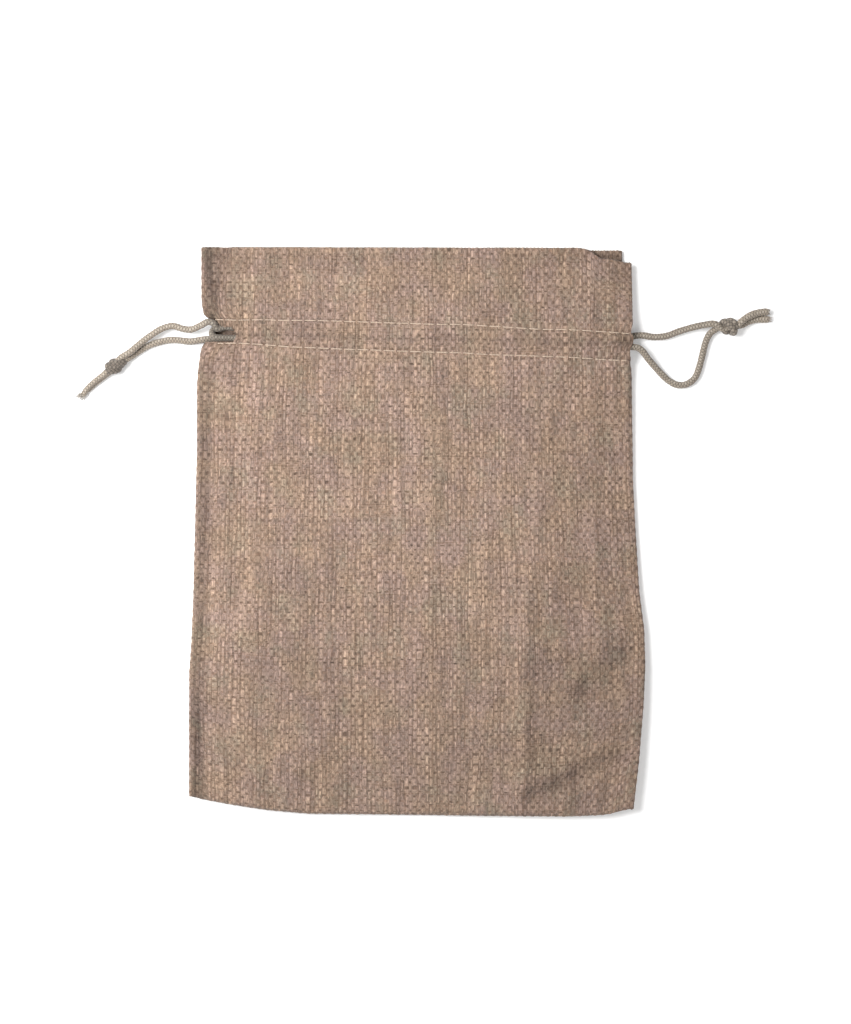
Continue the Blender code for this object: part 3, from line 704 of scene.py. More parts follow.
class Net:
    """A material and short ways of adding nodes to it."""

    def __init__(self, name):
        self.material = bpy.data.materials.new(name)
        self.material.use_nodes = True
        self.tree = self.material.node_tree
        self.surface = next(n for n in self.tree.nodes if n.type == "BSDF_PRINCIPLED")

    def put(self, socket, value):
        if isinstance(value, Value):
            self.tree.links.new(value.socket, socket)
        else:
            socket.default_value = value

    def node(self, kind, inputs, **settings):
        node = self.tree.nodes.new("ShaderNode" + kind)
        for key, setting in settings.items():
            setattr(node, key, setting)
        for key, value in inputs.items():
            self.put(node.inputs[key], value)
        return node

    def math(self, operation, first, second=0.0):
        node = self.node("Math", {0: first, 1: second, 2: 0.0}, operation=operation)
        return Value(self, node.outputs[0])

    def vector(self, x, y, z):
        return Value(self, self.node("CombineXYZ", {0: x, 1: y, 2: z}).outputs[0])

    def separate(self, vector):
        return [Value(self, s) for s in self.node("SeparateXYZ", {0: vector}).outputs]

    def noise(self, point, detail=1.0, rough=0.5, scale=1.0):
        """Noise at a vector output, or at a tuple of three coordinates."""
        point = self.vector(*point) if isinstance(point, tuple) else point
        node = self.node("TexNoise", {"Vector": point, "Scale": scale, "Detail": detail,
                                      "Roughness": rough})
        return Value(self, node.outputs["Fac"])

    def white(self, x, y, z):
        node = self.node("TexWhiteNoise", {"Vector": self.vector(x, y, z)}, noise_dimensions="3D")
        return Value(self, node.outputs["Value"])

    def mix(self, share, first, second):
        node = self.node("Mix", {}, data_type="RGBA")
        sockets = [s for s in node.inputs if s.enabled]
        for socket, value in zip(sockets, (share, first, second)):
            self.put(socket, (*value, 1.0) if isinstance(value, tuple) else value)
        return Value(self, next(s for s in node.outputs if s.enabled))

    def scale(self, colour, value):
        node = self.node("VectorMath", {0: colour, "Scale": value}, operation="SCALE")
        return Value(self, node.outputs[0])

    def attribute(self, name, output="Vector"):
        node = self.node("Attribute", {}, attribute_name=name)
        return Value(self, node.outputs[output])

    def object_point(self):
        return Value(self, self.node("TexCoord", {}).outputs["Object"])

    def finish(self, surface, **bump):
        """Sets the surface's inputs and an optional bump, and gives the material."""
        if bump:
            bump = {key.capitalize(): value for key, value in bump.items()}
            surface["Normal"] = Value(self, self.node("Bump", bump).outputs[0])
        for key, value in surface.items():
            self.put(self.surface.inputs[key], value)
        return self.material


def linear(*srgb):
    """Linear colour from sRGB channels of 0 to 255."""
    return tuple(((c / 255 + 0.055) / 1.055) ** 2.4 if c > 10 else c / 255 / 12.92 for c in srgb)


def dyed(*srgb):
    dye_strength = 0.517
    return tuple(c * dye_strength for c in linear(*srgb))


CLOTH_OCHRE, CLOTH_ROSE = dyed(178, 151, 129), dyed(173, 147, 134)
# the second colour below is the warm painted shade of the weave's pits and gaps
CLOTH_GREEN, CLOTH_DEEP_SHADE = dyed(163, 148, 128), dyed(160, 122, 98)
MIDDLE_SPAN = (0.25, 0.75)      # where most noise values lie


# ---------------------------------------------------------------- materials
def cloth_material():
    net = Net("woven_imitation_linen")
    across, along, seed = net.separate(net.attribute("weave"))
    # uneven yarns push their crossings off a strict lattice
    drift_across = net.noise((across * 0.80, along * 0.10, seed + 21.0))
    drift_along = net.noise((across * 0.14, along * 0.80, seed + 22.0))
    across = across + (drift_across - 0.5) * 1.15
    along = along + (drift_along - 0.5) * 1.30
    warp_id, weft_id = across.nearest(), along.nearest()
    off_warp, off_weft = abs(across - warp_id), abs(along - weft_id)
    even = 1.0 - (warp_id + weft_id) % 2.0 * 2.0
    # 1 on a warp float, -1 where the warp dives
    wave = net.math("COSINE", off_weft * math.pi) * even

    # pits where a weft crosses over; painted highlights along the warp floats
    pit_limit = -0.70
    open_weave = across.ramp(span=(14.0, 44.0))     # the weave stands more open to the right
    pit = (wave.ramp(span=(-1.0, open_weave * 0.30 + pit_limit), to=(1.0, 0.0))
           * off_warp.ramp(span=(0.20, 0.50), to=(1.0, 0.0)))
    float_highlight = off_warp.ramp(span=(0.02, 0.36), to=(1.0, 0.0)) * wave.ramp(span=(-0.85, 0.15))
    float_highlight = float_highlight * open_weave.ramp(span=(0.0, 1.0), to=(1.0, 0.45))
    warp = wave.ramp(span=(-0.80, -0.45))
    weft = 1.0 - warp

    # every yarn has its own shade and thickness, and both change along its length
    warp_shade = net.white(warp_id, 3.0, seed)
    weft_shade = net.white(7.0, weft_id, seed)
    warp_slub = net.noise((warp_id * 5.31, along * 0.13, seed), detail=2.0, rough=0.6)
    weft_slub = net.noise((across * 0.16, weft_id * 4.77, seed), detail=2.0, rough=0.6)
    warp_fibre = net.noise((across * 2.9, along * 0.80, seed), detail=2.0, rough=0.7)
    weft_fibre = net.noise((across * 0.80, along * 3.2, seed), detail=2.0, rough=0.7)

    def tone(base, *parts):
        """base, varied by (noise, amount) parts about their middles."""
        for _, amount in parts:
            base = base - 0.5 * amount
        for noise, amount in parts:
            base = base + noise * amount
        return base

    warp_tone = tone(1.00, (warp_shade, 0.20), (warp_slub, 0.80), (warp_fibre, 1.9))
    weft_tone = tone(0.98, (weft_shade, 0.18), (weft_slub, 0.60), (weft_fibre, 1.60))
    # here and there a yarn runs lighter for a centimetre or two
    warp_light = net.noise((warp_id * 9.1, along * 0.05, seed + 31.0))
    weft_light = net.noise((across * 0.05, weft_id * 8.3, seed + 32.0))
    warp_tone = warp_tone + warp_light.ramp(span=(0.60, 0.70), to=(0.0, 0.24))
    weft_tone = weft_tone + weft_light.ramp(span=(0.60, 0.70), to=(0.0, 0.22))
    value = warp_tone * warp + weft_tone * weft

    # every crossing differs
    cell = net.white(warp_id, weft_id, seed)
    float_highlight_cell = net.white(warp_id, weft_id, seed + 3.0)
    value = value * cell.ramp(span=(0.0, 1.0), to=(0.94, 1.06))
    # painted highlight on the warp floats, and painted shade in the pits where the warp dives
    value = value * (1.0 + float_highlight * float_highlight_cell.ramp(span=(0.0, 1.0), to=(0.02, 0.34)))
    value = value * (1.0 - pit * cell.ramp(span=(0.0, 1.0), to=(0.04, 0.42)))
    long_fibre = net.noise((across * 2.6, along * 0.08, seed + 8.0))
    value = value * long_fibre.ramp(span=MIDDLE_SPAN, to=(0.84, 1.16))
    grain = net.noise((across * 3.9, along * 2.1, seed + 15.0))
    value = value * grain.ramp(span=MIDDLE_SPAN, to=(0.75, 1.25))

    # open gaps run for a while between some pairs of yarns, darkened with painted shade
    warp_gap = net.noise((net.math("FLOOR", across) * 7.7, along * 0.07, seed + 5.0))
    weft_gap = net.noise((across * 0.10, net.math("FLOOR", along) * 6.9, seed + 6.0))
    warp_gap = (off_warp.ramp(span=(0.28, 0.46))
                * warp_gap.ramp(span=(0.40, 0.64), to=(0.01, 0.26)))
    weft_gap = (off_weft.ramp(span=(0.31, 0.47))
                * weft_gap.ramp(span=(0.46, 0.68), to=(0.0, 0.23)))
    value = value * (1.0 - warp_gap) * (1.0 - weft_gap)
    # painted shade from the point attribute: beside the seams, in the tunnel, at its mouths and along
    # the folds
    value = value * net.attribute("painted_shade", output="Fac")
    broad = net.noise((across * 0.05, along * 0.05, seed), detail=2.0)
    value = value * broad.ramp(span=MIDDLE_SPAN, to=(0.94, 1.06))

    # the cloth's dyed colour wanders between warm grey, ochre, rose and a grey green
    rose = net.noise((across * 0.10, along * 0.11, seed), detail=3.0, rough=0.6)
    green = net.noise((across * 0.14, along * 0.12, seed + 41.0), detail=3.0, rough=0.6)
    yarn_hue = net.noise((warp_id * 3.3, along * 0.2, seed + 9.0))
    colour = net.mix(rose.ramp(span=(0.35, 0.65)), CLOTH_OCHRE, CLOTH_ROSE)
    colour = net.mix(green.ramp(span=(0.48, 0.70)) * 0.65, colour, CLOTH_GREEN)
    colour = net.mix(yarn_hue.ramp(span=(0.50, 0.75)) * 0.35, colour, CLOTH_OCHRE)
    # deeper in the cloth the colour is warmer and darker: painted shade in the pits and gaps
    deep_shade = pit * 0.45 + (warp_gap + weft_gap) * 1.4
    colour = net.mix(net.math("MINIMUM", deep_shade, 0.85), colour, CLOTH_DEEP_SHADE)

    height = warp_fibre * warp + weft_fibre * weft
    height = height * 0.7 + (float_highlight * 0.5 - pit)
    return net.finish({
        "Base Color": net.scale(colour, value),
        "Roughness": warp_fibre.ramp(span=(0.3, 0.7), to=(0.84, 0.97)),
        "Specular IOR Level": 0.25,
        "Sheen Weight": 0.08,
        "Sheen Roughness": 0.6,
    }, height=height, distance=0.00012, strength=0.8)


# Painted shade and light on the cords along x: dark inside the left mouth of the tunnel, lighter again
# further right, and lighter at the right tails:
# from x, to x (about the middle), factor before, factor after.
CORD_SHADING = [(-50.8, -46.6, 1.0, 0.532), (-36, -20, 1.0, 1.68), (66, 74, 1.0, 1.18)]


def cord_material(name, base, light):
    net = Net(name)
    cosine, sine, length = net.separate(net.attribute("braid"))
    turn = net.math("ARCTAN2", sine, cosine) / (2 * math.pi) * float(BRAID_N)
    rise = length / BRAID_P
    first, second = turn + rise, turn - rise
    first_id, second_id = first.nearest(), second.nearest()
    off_first, off_second = abs(first - first_id), abs(second - second_id)
    second_over = (first_id + second_id) % 2.0
    first_over = 1.0 - second_over
    across = off_first * first_over + off_second * second_over
    along = off_second * first_over + off_first * second_over
    first_strand = first_id % float(BRAID_N)
    second_strand = second_id % float(BRAID_N) + 9.0
    strand = net.white(first_strand * first_over, second_strand * second_over, 1.0)
    fibre = net.noise((first * 7.0, second * 7.0, length), detail=2.0, rough=0.6)
    slow = net.noise((cosine, sine, length * 0.5), detail=2.0, rough=0.6)
    # painted shade at the edges of each strand and where it dives under the next
    value = (across.ramp(span=(0.27, 0.49), to=(1.0, 0.30))
             * along.ramp(span=(0.32, 0.50), to=(1.0, 0.50)))
    value = value * fibre.ramp(span=MIDDLE_SPAN, to=(0.82, 1.20))
    value = value * slow.ramp(span=MIDDLE_SPAN, to=(0.90, 1.10))
    x = net.separate(net.object_point())[0]
    for start, end, before, after in CORD_SHADING:
        span = ((MID_X + start) * MM, (MID_X + end) * MM)
        value = value * x.ramp(span=span, to=(before, after))
    colour = net.mix(strand.ramp(span=(0.2, 0.9)), base, light)
    return net.finish({
        "Base Color": net.scale(colour, value),
        "Roughness": fibre.ramp(span=(0.3, 0.7), to=(0.55, 0.80)),
        "Specular IOR Level": 0.35,
        "Sheen Weight": 0.12,
    }, height=fibre - across.ramp(span=(0.25, 0.50), to=(0.0, 0.8)),
        distance=0.00006, strength=0.8)


def thread_material():
    net = Net("cream_sewing_thread")
    cosine, sine, length = net.separate(net.attribute("braid"))
    twist = net.math("SINE", net.math("ARCTAN2", sine, cosine) * 2.0 + length * 9.0)
    fibre = net.noise((cosine * 3.0, sine * 3.0, length * 4.0), detail=2.0, rough=0.6)
    colour = net.mix(fibre.ramp(span=(0.3, 0.7)), linear(180, 158, 138), linear(203, 184, 165))
    # the grooves of the twist are darkened: painted shade
    return net.finish({
        "Base Color": net.scale(colour, twist.ramp(span=(-1.0, 0.2), to=(0.72, 1.0))),
        "Roughness": fibre.ramp(span=(0.3, 0.7), to=(0.45, 0.7)),
    }, height=twist, distance=0.00005, strength=0.8)


def fibre_material(name, dark, light):
    net = Net(name)
    cosine, sine, length = net.separate(net.attribute("braid"))
    mottle = net.noise((cosine * 2.0, sine * 2.0, length * 3.0), detail=2.0, rough=0.6)
    return net.finish({
        "Base Color": net.mix(mottle.ramp(span=(0.3, 0.7)), dark, light),
        "Roughness": mottle.ramp(span=(0.3, 0.7), to=(0.5, 0.75)),
    }, height=mottle, distance=0.00003, strength=0.6)


def floor_material():
    """Pale, glowing more away from the pouch so that it stays even out to the horizon."""
    grey, glow, far_glow = 0.88, 0.16, 0.56
    net = Net("pale_floor")
    point = net.object_point()
    mottle = net.noise(point, detail=3.0, scale=40.0)
    x, y, _ = net.separate(point)
    distance = net.math("SQRT", x * x + y * y)
    return net.finish({
        "Base Color": net.mix(mottle.ramp(span=(0.3, 0.7)), (grey,) * 3, (grey * 0.995,) * 3),
        "Roughness": 0.9,
        "Emission Color": (1, 1, 1, 1),
        "Emission Strength": distance.ramp(span=(0.13, 0.60), to=(glow, glow + far_glow)),
    })


CLOTH = cloth_material()
CORD = cord_material("braided_polyester_cord", linear(144, 132, 118), linear(162, 152, 139))
# the knots are darker copies of the cord's colours, painted shade, deepest on the left knot
SHADED_KNOT = {
    "left": cord_material("braided_polyester_cord_left_knot_shaded",
                          linear(101, 92, 83), linear(117, 108, 98)),
    "right": cord_material("braided_polyester_cord_right_knot_shaded",
                           linear(116, 106, 95), linear(134, 124, 113))}
THREAD = thread_material()
FRAY = {
    "left": fibre_material("frayed_left_cord_ends", linear(128, 120, 110), linear(192, 185, 176)),
    "right": fibre_material("frayed_right_cord_ends", linear(138, 124, 112),
                            linear(168, 155, 144))}


# ---------------------------------------------------------------- gather weights of the cloth
def gather_weight(x, y):
    """Share of a pulled cord's travel that the cloth follows: most at the far end of the
    tunnel, none in the middle of the mouth, fading out down the body."""
    above = above_cord(x, y)
    along = np.clip(np.abs(x - MID_X) / np.where(x > MID_X, 46.6, 47.2), 0, 1.0)
    along = np.where(along < 0.2, along ** 2 / 0.4, along - 0.1) / 0.9     # starts softly
    down = 1 - ease((-above - 3.6) / 78)
    up = 1 - 0.16 * ease((above - 3.6) / 18)
    return along * down * up


def gather(ob, side):
    """Meant for cloth on the right to follow the left cord, whose far bend is there, and the other
    way; here it only bakes the piece's transform and works out gather weights, which are not applied.
    """
    body, sign = ("left_cord", 1) if side == "right" else ("right_cord", -1)
    (MID_X + sign * 47) * MM
    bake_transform(ob)
    verts = np.empty(len(ob.data.vertices) * 3, np.float32)
    ob.data.vertices.foreach_get("co", verts)
    verts = verts.reshape(-1, 3) / MM
    weights = gather_weight(verts[:, 0], verts[:, 1]).astype(np.float32)


def dress(ob, material, node=None, side=None, body="root"):
    """Gives a piece its material, parents it to its body's empty unless it is gathered cloth, which
    goes to gather, and hides the part it replaces.
    """
    ob.data.materials.append(material)
    if side:
        gather(ob, side)
    else:
        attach(ob, body)
    if node:
        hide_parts(node)


# ---------------------------------------------------------------- cloth pieces
def outside_slot(x, y):
    """False inside the opening in the front cloth at the left mouth of the tunnel."""
    own_x, own_y = x - MID_X, y - MID_Y
    off_y = own_y - 44.75 + 0.04 * (own_x + 45)
    slot = (np.abs(off_y) < 1.72) & (own_x < -42.4 - 1.1 * (off_y / 1.75) ** 2)
    corner = (own_x < -47.3 + (48.6 - own_y) * 0.73) & (own_y < 48.5) & (own_y > 45.0)
    return ~(slot | corner)


def cloth_pieces(which):
    sheet = panel(which)
    last_row, last_col = sheet["points"].shape[0] - 1, sheet["points"].shape[1] - 1
    middle = (LEFT_N + ROLL_N) * SUB
    for side, cols in (("left", (0, middle)), ("right", (middle, last_col))):
        keep = outside_slot if which == "front" and side == "left" else None
        nodes = (f"{which}_panel", f"{which}_turned_hem")
        pieces = [shell(f"{nodes[0]}_cloth_{side}", sheet, (0, CREST), cols, keep),
                  shell(f"{nodes[1]}_cloth_{side}", sheet, (CREST, last_row), cols)]
        for ob, node in zip(pieces, nodes):
            dress(ob, CLOTH, node, side)


for which in ("front", "back"):
    cloth_pieces(which)


# ---------------------------------------------------------------- stitching
STITCH = 3.0        # length of one stitch and its gap


def stitch_line(node, side, which, line, start, end, seed):
    """A row of lockstitches: long stitches on top, dipping into the cloth between."""
    step = 0.14
    x = np.arange(start, end + 0.01, step)
    wander = sample(random_grid(seed, 3, 200), np.ones(len(x)), np.abs(x + 60) / STITCH)
    y = line(x) + wander * 0.07
    phase = (np.cumsum(np.full(len(x), step)) / STITCH + start / STITCH + 100) % 1.0
    on_top = ease(np.minimum(phase, 1 - phase) / 0.13 - 0.12)
    z = SURFACES[which][0](x, y) + FACING[which] * (0.25 - 0.50 * (1 - on_top))
    ob = join_tubes(f"{node}_{side}", [thin_tube(np.stack([x, y, z], -1), 0.110, 8)])
    dress(ob, THREAD, node, side)


# Tunnel stitch rows: name, line, left end, right end, seed of the front's row.
for which in ("front", "back"):
    for row, line, left, right, seed in (("upper", upper_stitch, -47.2, 46.8, 33),
                                         ("lower", lower_stitch, -46.6, 46.2, 31)):
        for side, start, end in (("left", left + MID_X, MID_X), ("right", MID_X, right + MID_X)):
            stitch_line(f"{which}_{row}_tunnel_stitch", side, which, line, start, end,
                        seed + (which == "back"))


def seam_thread(name, x, y, side=None):
    """A seam's row of stitches, inside the pouch where the two panels meet."""
    z = (front_z(x, y) + back_z(x, y)) / 2
    path, lengths = resample(np.stack([x, y, z], -1), 0.16)
    swing = np.sin(2 * np.pi * lengths / STITCH)
    path[:, 2] += 0.17 * np.sign(swing) * np.minimum(1, np.abs(swing) * 2.5)
    ob = join_tubes(f"{name}_thread", [thin_tube(path, 0.135, 8)])
    dress(ob, THREAD, f"{name}_stitch", side)


SEAM_INSET = 1.9
for side, edge, inward in (("left", left_edge, 1), ("right", right_edge, -1)):
    low, high = box_mm(f"{side}_side_seam_stitch")
    y = np.arange(low[1], high[1], 0.5)
    seam_thread(f"{side}_side_seam", edge(y) + inward * SEAM_INSET, y, side)
low, high = box_mm("bottom_seam_stitch")
x = np.arange(max(low[0], left_edge(-58) + 2.2), min(high[0], right_edge(-60) - 2.2), 0.5)
seam_thread("bottom_seam", x, bottom_edge(x) + SEAM_INSET)


# ---------------------------------------------------------------- drawcords
FRONT_CORD_Z, BACK_CORD_Z = 3.50, 1.19
STRAND_GAP = 1.2            # from the cord line to each strand in the tunnel
RUN = np.array([1.0, -CORD_DROP]) / math.hypot(1.0, CORD_DROP)
ACROSS_RUN = np.array([-RUN[1], RUN[0]])
# Frays: fibres, shortest, longest, curl, share of the cord's width, lean.
TUFT = (110, 0.5, 1.35, 0.60, 0.8, (-1.1, 0.1, -0.1))
LEFT_FRAY = (46, 0.4, 0.9, 0.25, 0.8, (0, 0, 0))
RIGHT_FRAY = (40, 0.25, 0.7, 0.25, 1.0, (0, 0, 0))

# Each cord: "front" and "back" are (x, y, z) points from the tunnel to the knot, "tails" from the
# knot to the ends, about the pouch's middle. "exit" is -1 if it leaves at the left. "run" and
# "far" are places along the cord line: the front run's ends and the far bend. "tail_change" is
# the change of radius, its reach from the end and its fade.
CORDS = {
    "left": {
        "exit": -1, "run": (-45.2, 44), "far": 45.0, "back_lead": [-47.4], "seed": 5,
        "front": [
            (-46.7, 46.1, 3.75), (-47.55, 47.2, 4.05), (-48.8, 47.6, 3.9), (-50.5, 46.85, 3.3),
            (-52.8, 45.95, 2.9), (-54.7, 46.15, 2.7), (-57.0, 46.8, 2.5), (-59.3, 46.25, 2.4),
            (-61.6, 44.9, 2.4), (-63.4, 43.6, 2.4), (-65.1, 42.2, 2.5), (-66.6, 40.9, 2.65)],
        "back": [
            (-50.6, 43.7, 1.15), (-53.2, 43.35, 1.0), (-55.5, 43.6, 0.9), (-57.6, 43.7, 0.85),
            (-59.9, 43.3, 0.82), (-62.2, 42.6, 0.82), (-64.5, 41.4, 0.9), (-66.5, 40.0, 1.2)],
        "knot": (-70.1, 37.9, 2.05), "axis": (-3.8, -3.6, 0),
        "tails": [
            [(-72.2, 36.2, 2.3), (-74.2, 34.7, 1.95), (-76.0, 33.2, 1.75), (-77.0, 32.1, 1.5),
             (-77.6, 31.1, 1.15)],
            [(-72.0, 35.9, 1.3), (-74.1, 34.3, 0.95), (-75.7, 33.0, 0.8), (-76.7, 32.1, 0.72)]],
        "tail_change": (-0.20, 9.0, 4), "frays": (TUFT, LEFT_FRAY),
        "wrap": {"turns": 2.7, "pitch": 1.26, "phase": 0.9, "spread": 0.66, "slant": -1.05,
                 "radius": 0.72},
    },
    "right": {
        "exit": 1, "run": (46.8, -44), "far": -46.6, "back_lead": [], "seed": 6,
        "front": [
            (49.2, 41.6, 3.0), (51.6, 38.9, 2.2), (54.1, 36.2, 1.2), (56.2, 34.3, 0.85),
            (58.3, 33.4, 0.8), (60.4, 33.7, 0.8), (62.1, 35.1, 0.8), (63.1, 37.6, 0.8),
            (63.8, 40.3, 0.8), (64.5, 43.1, 0.85), (65.4, 45.0, 0.95), (66.6, 46.0, 1.2)],
        "back": [
            (49.6, 44.75, 1.3), (52.7, 44.35, 1.2), (55.5, 44.6, 1.2), (58.3, 45.6, 1.5),
            (61.0, 46.4, 2.0), (63.8, 47.0, 2.5), (66.4, 47.2, 2.8)],
        "knot": (69.8, 46.6, 2.1), "axis": (4, 0.5, 0),
        "tails": [
            [(72.5, 47.0, 1.3), (74.3, 47.95, 1.0), (76.2, 48.4, 0.85), (77.7, 48.45, 0.8),
             (79.0, 48.4, 0.8)],
            [(72.4, 47.75, 2.75), (74.1, 48.95, 2.35), (75.9, 49.7, 1.9), (77.4, 50.0, 1.55),
             (78.8, 50.1, 1.3)]],
        "tail_change": (0.09, 7.0, 3), "frays": (RIGHT_FRAY, RIGHT_FRAY),
        "wrap": {"turns": 2.0, "pitch": 1.25, "phase": 2.4, "spread": 0.86, "slant": -0.80,
                 "radius": 0.80},
    },
}


def on_line(along, across, z):
    """A point by its place along and across the cord line."""
    x, y = along * RUN + across * ACROSS_RUN
    return [MID_X + x, CORD_Y + y, z + BASE_Z]


def placed(points):
    return [[x + MID_X, y + MID_Y, z + BASE_Z] for x, y, z in points]


def knot_axes(spec):
    """The knot's own direction, and the level direction across it."""
    axis = np.array(spec["axis"], float)
    axis /= np.linalg.norm(axis)
    return axis, np.array([-axis[1], axis[0], 0.0])


def through_knot(spec, sideways, up):
    """A strand's way through its knot."""
    axis, level = knot_axes(spec)
    offset = level * sideways
    rise = np.array([0, 0, up])
    return placed([np.array(spec["knot"]) + axis * along + (offset + rise) * share
                   for along, share in ((-1.5, 1.0), (0.0, 0.8), (1.3, 1.0))])


def cord_path(spec):
    """From the first tail's end through knot and tunnel, round the far bend and back."""
    leave = spec["exit"]
    across = -leave * STRAND_GAP
    run = list(np.linspace(*spec["run"], 24))
    middle_z, half_z = (FRONT_CORD_Z + BACK_CORD_Z) / 2, (FRONT_CORD_Z - BACK_CORD_Z) / 2
    bend = [on_line(spec["far"] - leave * 1.45 * np.sin(angle), across * np.cos(angle),
                    middle_z + half_z * np.cos(angle))
            for angle in np.linspace(0, np.pi, 9)[1:-1]]
    sideways, up = leave * 0.42, -leave * 0.25
    return spline(
        placed(spec["tails"][0][::-1])
        + through_knot(spec, sideways, up)[::-1]
        + placed(spec["front"][::-1])
        + [on_line(along, across, FRONT_CORD_Z) for along in run]
        + bend
        + [on_line(along, -across, BACK_CORD_Z) for along in run[::-1] + spec["back_lead"]]
        + placed(spec["back"])
        + through_knot(spec, -sideways, -up)
        + placed(spec["tails"][1]))


def cord_step(points):
    """Coarser steps where the cord is hidden in the tunnel."""
    own_x = points[:, 0] - MID_X
    hidden = (np.abs(own_x) < 40.5) | ((own_x > 0) & (own_x < 46.5))
    return np.where(hidden, 0.34, 0.115)


def braided_cord(side, spec, knot):
    """The cord itself, thinner in the tunnel and the knot. Gives its path."""
    path, lengths = resample(cord_path(spec), cord_step)
    tunnel = ease((47.5 - np.abs(path[:, 0] - MID_X)) / 3.5)
    near_knot = bell(np.linalg.norm(path - knot, axis=1), 1.9, power=4)
    radius = 0.735 - 0.06 * tunnel - 0.22 * near_knot
    radius *= 1 + 0.018 * np.sin(lengths * 1.7) + 0.012 * np.sin(lengths * 4.3 + 1)
    to_end = np.minimum(lengths, lengths[-1] - lengths)
    change, reach, fade = spec["tail_change"]
    radius *= 1 + change * ease((reach - to_end) / fade)
    radius *= 1 - 0.25 * np.exp(-to_end / 0.25)
    flat = (1 - 0.10 * tunnel)[:, None]
    ob = join_tubes(f"{side}_drawcord_braid", [braid_tube(path, lengths, radius, flat)])
    dress(ob, CORD, f"{side}_drawcord", body=f"{side}_cord")
    return path


def wrapped_knot(side, spec, knot):
    """The overhand knot: the doubled cord's wraps round itself."""
    axis, level = knot_axes(spec)
    wrap = spec["wrap"]
    turn = wrap["turns"] * np.linspace(-0.5, 0.5, 160)
    angle = 2 * np.pi * turn + wrap["phase"]
    grip = ease((0.5 - np.abs(turn / wrap["turns"])) / 0.13)
    spread = 0.30 + (wrap["spread"] + 0.10 * np.sin(angle * 0.5 + spec["seed"])) * grip
    slant = wrap["slant"] * np.cos(angle + 0.7)
    path = (knot + axis * (wrap["pitch"] * turn + slant * grip)[:, None]
            + level * (spread * np.cos(angle) * 1.08)[:, None]
            + np.array([0, 0, 1.0]) * (spread * np.sin(angle) * 0.96)[:, None])
    path, lengths = resample(path, 0.11)
    to_end = np.minimum(lengths, lengths[-1] - lengths)
    radius = wrap["radius"] * (1 - 0.35 * np.exp(-to_end / 0.6))
    ob = join_tubes(f"{side}_knot_braid", [braid_tube(path, lengths + 3.1, radius, relief=0.9)])
    dress(ob, SHADED_KNOT[side], body=f"{side}_cord")


def frayed_ends(side, spec, path):
    """The cut ends: loose fibres that spread and curl, kept above the ground."""
    rng = np.random.default_rng(spec["seed"])
    tubes = []
    share = np.linspace(0, 1, 7)[:, None]
    for end, inward, fray in zip((path[0], path[-1]), (path[6], path[-7]), spec["frays"]):
        count, shortest, longest, curliness, width, lean = fray
        ahead = end - inward
        ahead /= np.linalg.norm(ahead)
        level = np.cross(ahead, [0, 0, 1.0])
        level /= np.linalg.norm(level)
        upright = np.cross(ahead, level)
        ahead = ahead + np.array(lean)
        ahead /= np.linalg.norm(ahead)
        for _ in range(count):
            angle = rng.uniform(0, 2 * np.pi)
            out = 0.56 * math.sqrt(rng.uniform(0, 1)) * width
            outward = level * np.cos(angle) + upright * np.sin(angle)
            root = end - ahead * 0.25 + outward * out
            length = rng.uniform(shortest, longest)
            spread = outward * rng.uniform(0.0, 0.7) + rng.normal(0, 0.22, 3)
            curl = rng.normal(0, curliness, 3)
            line = (root + ahead * length * share + spread * length * share ** 2 * 0.8
                    + curl * length * share ** 3)
            line[:, 2] = np.maximum(line[:, 2], BASE_Z + 0.08)
            tubes.append(thin_tube(line, rng.uniform(0.045, 0.075), 5, taper=0.5))
    ob = join_tubes(f"{side}_frayed_ends_braid", tubes)
    dress(ob, FRAY[side], body=f"{side}_cord")


for side, spec in CORDS.items():
    knot = np.array(placed([spec["knot"]])[0])
    path = braided_cord(side, spec, knot)
    wrapped_knot(side, spec, knot)
    frayed_ends(side, spec, path)


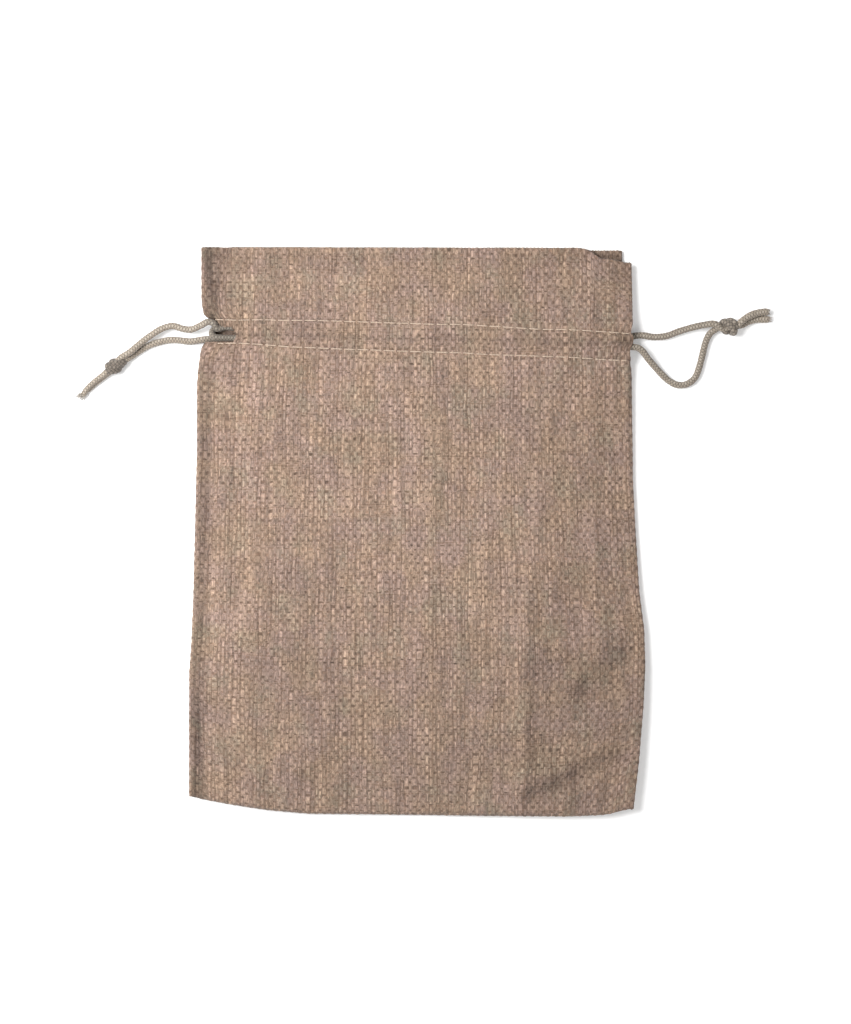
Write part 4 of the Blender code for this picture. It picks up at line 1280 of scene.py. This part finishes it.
# ---------------------------------------------------------------- floor, light and camera (metres)
scene = bpy.context.scene
FLOOR_HALF = 4
floor_mesh = bpy.data.meshes.new("floor")
floor_corners = [(x * FLOOR_HALF, y * FLOOR_HALF, 0)
                 for x, y in ((-1, -1), (1, -1), (1, 1), (-1, 1))]
floor_mesh.from_pydata(floor_corners, [], [(0, 1, 2, 3)])
floor = bpy.data.objects.new("floor", floor_mesh)
floor.location = (0, 0, (BASE_Z - 0.10) * MM)
floor_mesh.materials.append(floor_material())
scene.collection.objects.link(floor)


def disk_light(name, location, size, power):
    """A round light aimed at the origin."""
    light = bpy.data.lights.new(name, "AREA")
    light.shape, light.size, light.energy = "DISK", size, power
    ob = bpy.data.objects.new(name, light)
    ob.location = location
    ob.rotation_mode = "QUATERNION"
    ob.rotation_quaternion = (-Vector(location)).to_track_quat("-Z", "Y")
    ob.visible_camera = False
    scene.collection.objects.link(ob)


disk_light("key", location=(-0.20, 0.08, 0.325), size=0.23, power=2.60)
disk_light("fill", location=(0.35, -0.45, 0.60), size=0.60, power=1.6)


def studio_world(seen_strength, light_strength):
    """White to the camera, softer as a light."""
    world = bpy.data.worlds.new("studio")
    scene.world = world
    world.use_nodes = True
    nodes, links = world.node_tree.nodes, world.node_tree.links
    nodes.clear()
    output = nodes.new("ShaderNodeOutputWorld")
    rays = nodes.new("ShaderNodeLightPath")
    chooser = nodes.new("ShaderNodeMixShader")
    links.new(rays.outputs["Is Camera Ray"], chooser.inputs[0])
    for place, strength in ((1, light_strength), (2, seen_strength)):
        background = nodes.new("ShaderNodeBackground")
        background.inputs["Color"].default_value = (1, 1, 1, 1)
        background.inputs["Strength"].default_value = strength
        links.new(background.outputs[0], chooser.inputs[place])
    links.new(chooser.outputs[0], output.inputs[0])


studio_world(seen_strength=1.0, light_strength=0.42)

scene.view_settings.view_transform = "Standard"
scene.view_settings.look = "None"
scene.view_settings.exposure = 0.0
scene.view_settings.gamma = 1.0

# The camera looks straight down from just off the pouch's middle.
camera_data = bpy.data.cameras.new("camera")
camera_data.lens, camera_data.sensor_width, camera_data.clip_start = 85, 36, 0.01
camera = bpy.data.objects.new("camera", camera_data)
camera.location = ((MID_X + 0.57) * MM, (MID_Y + 4.43) * MM, 0.5529)
scene.collection.objects.link(camera)
scene.camera = camera
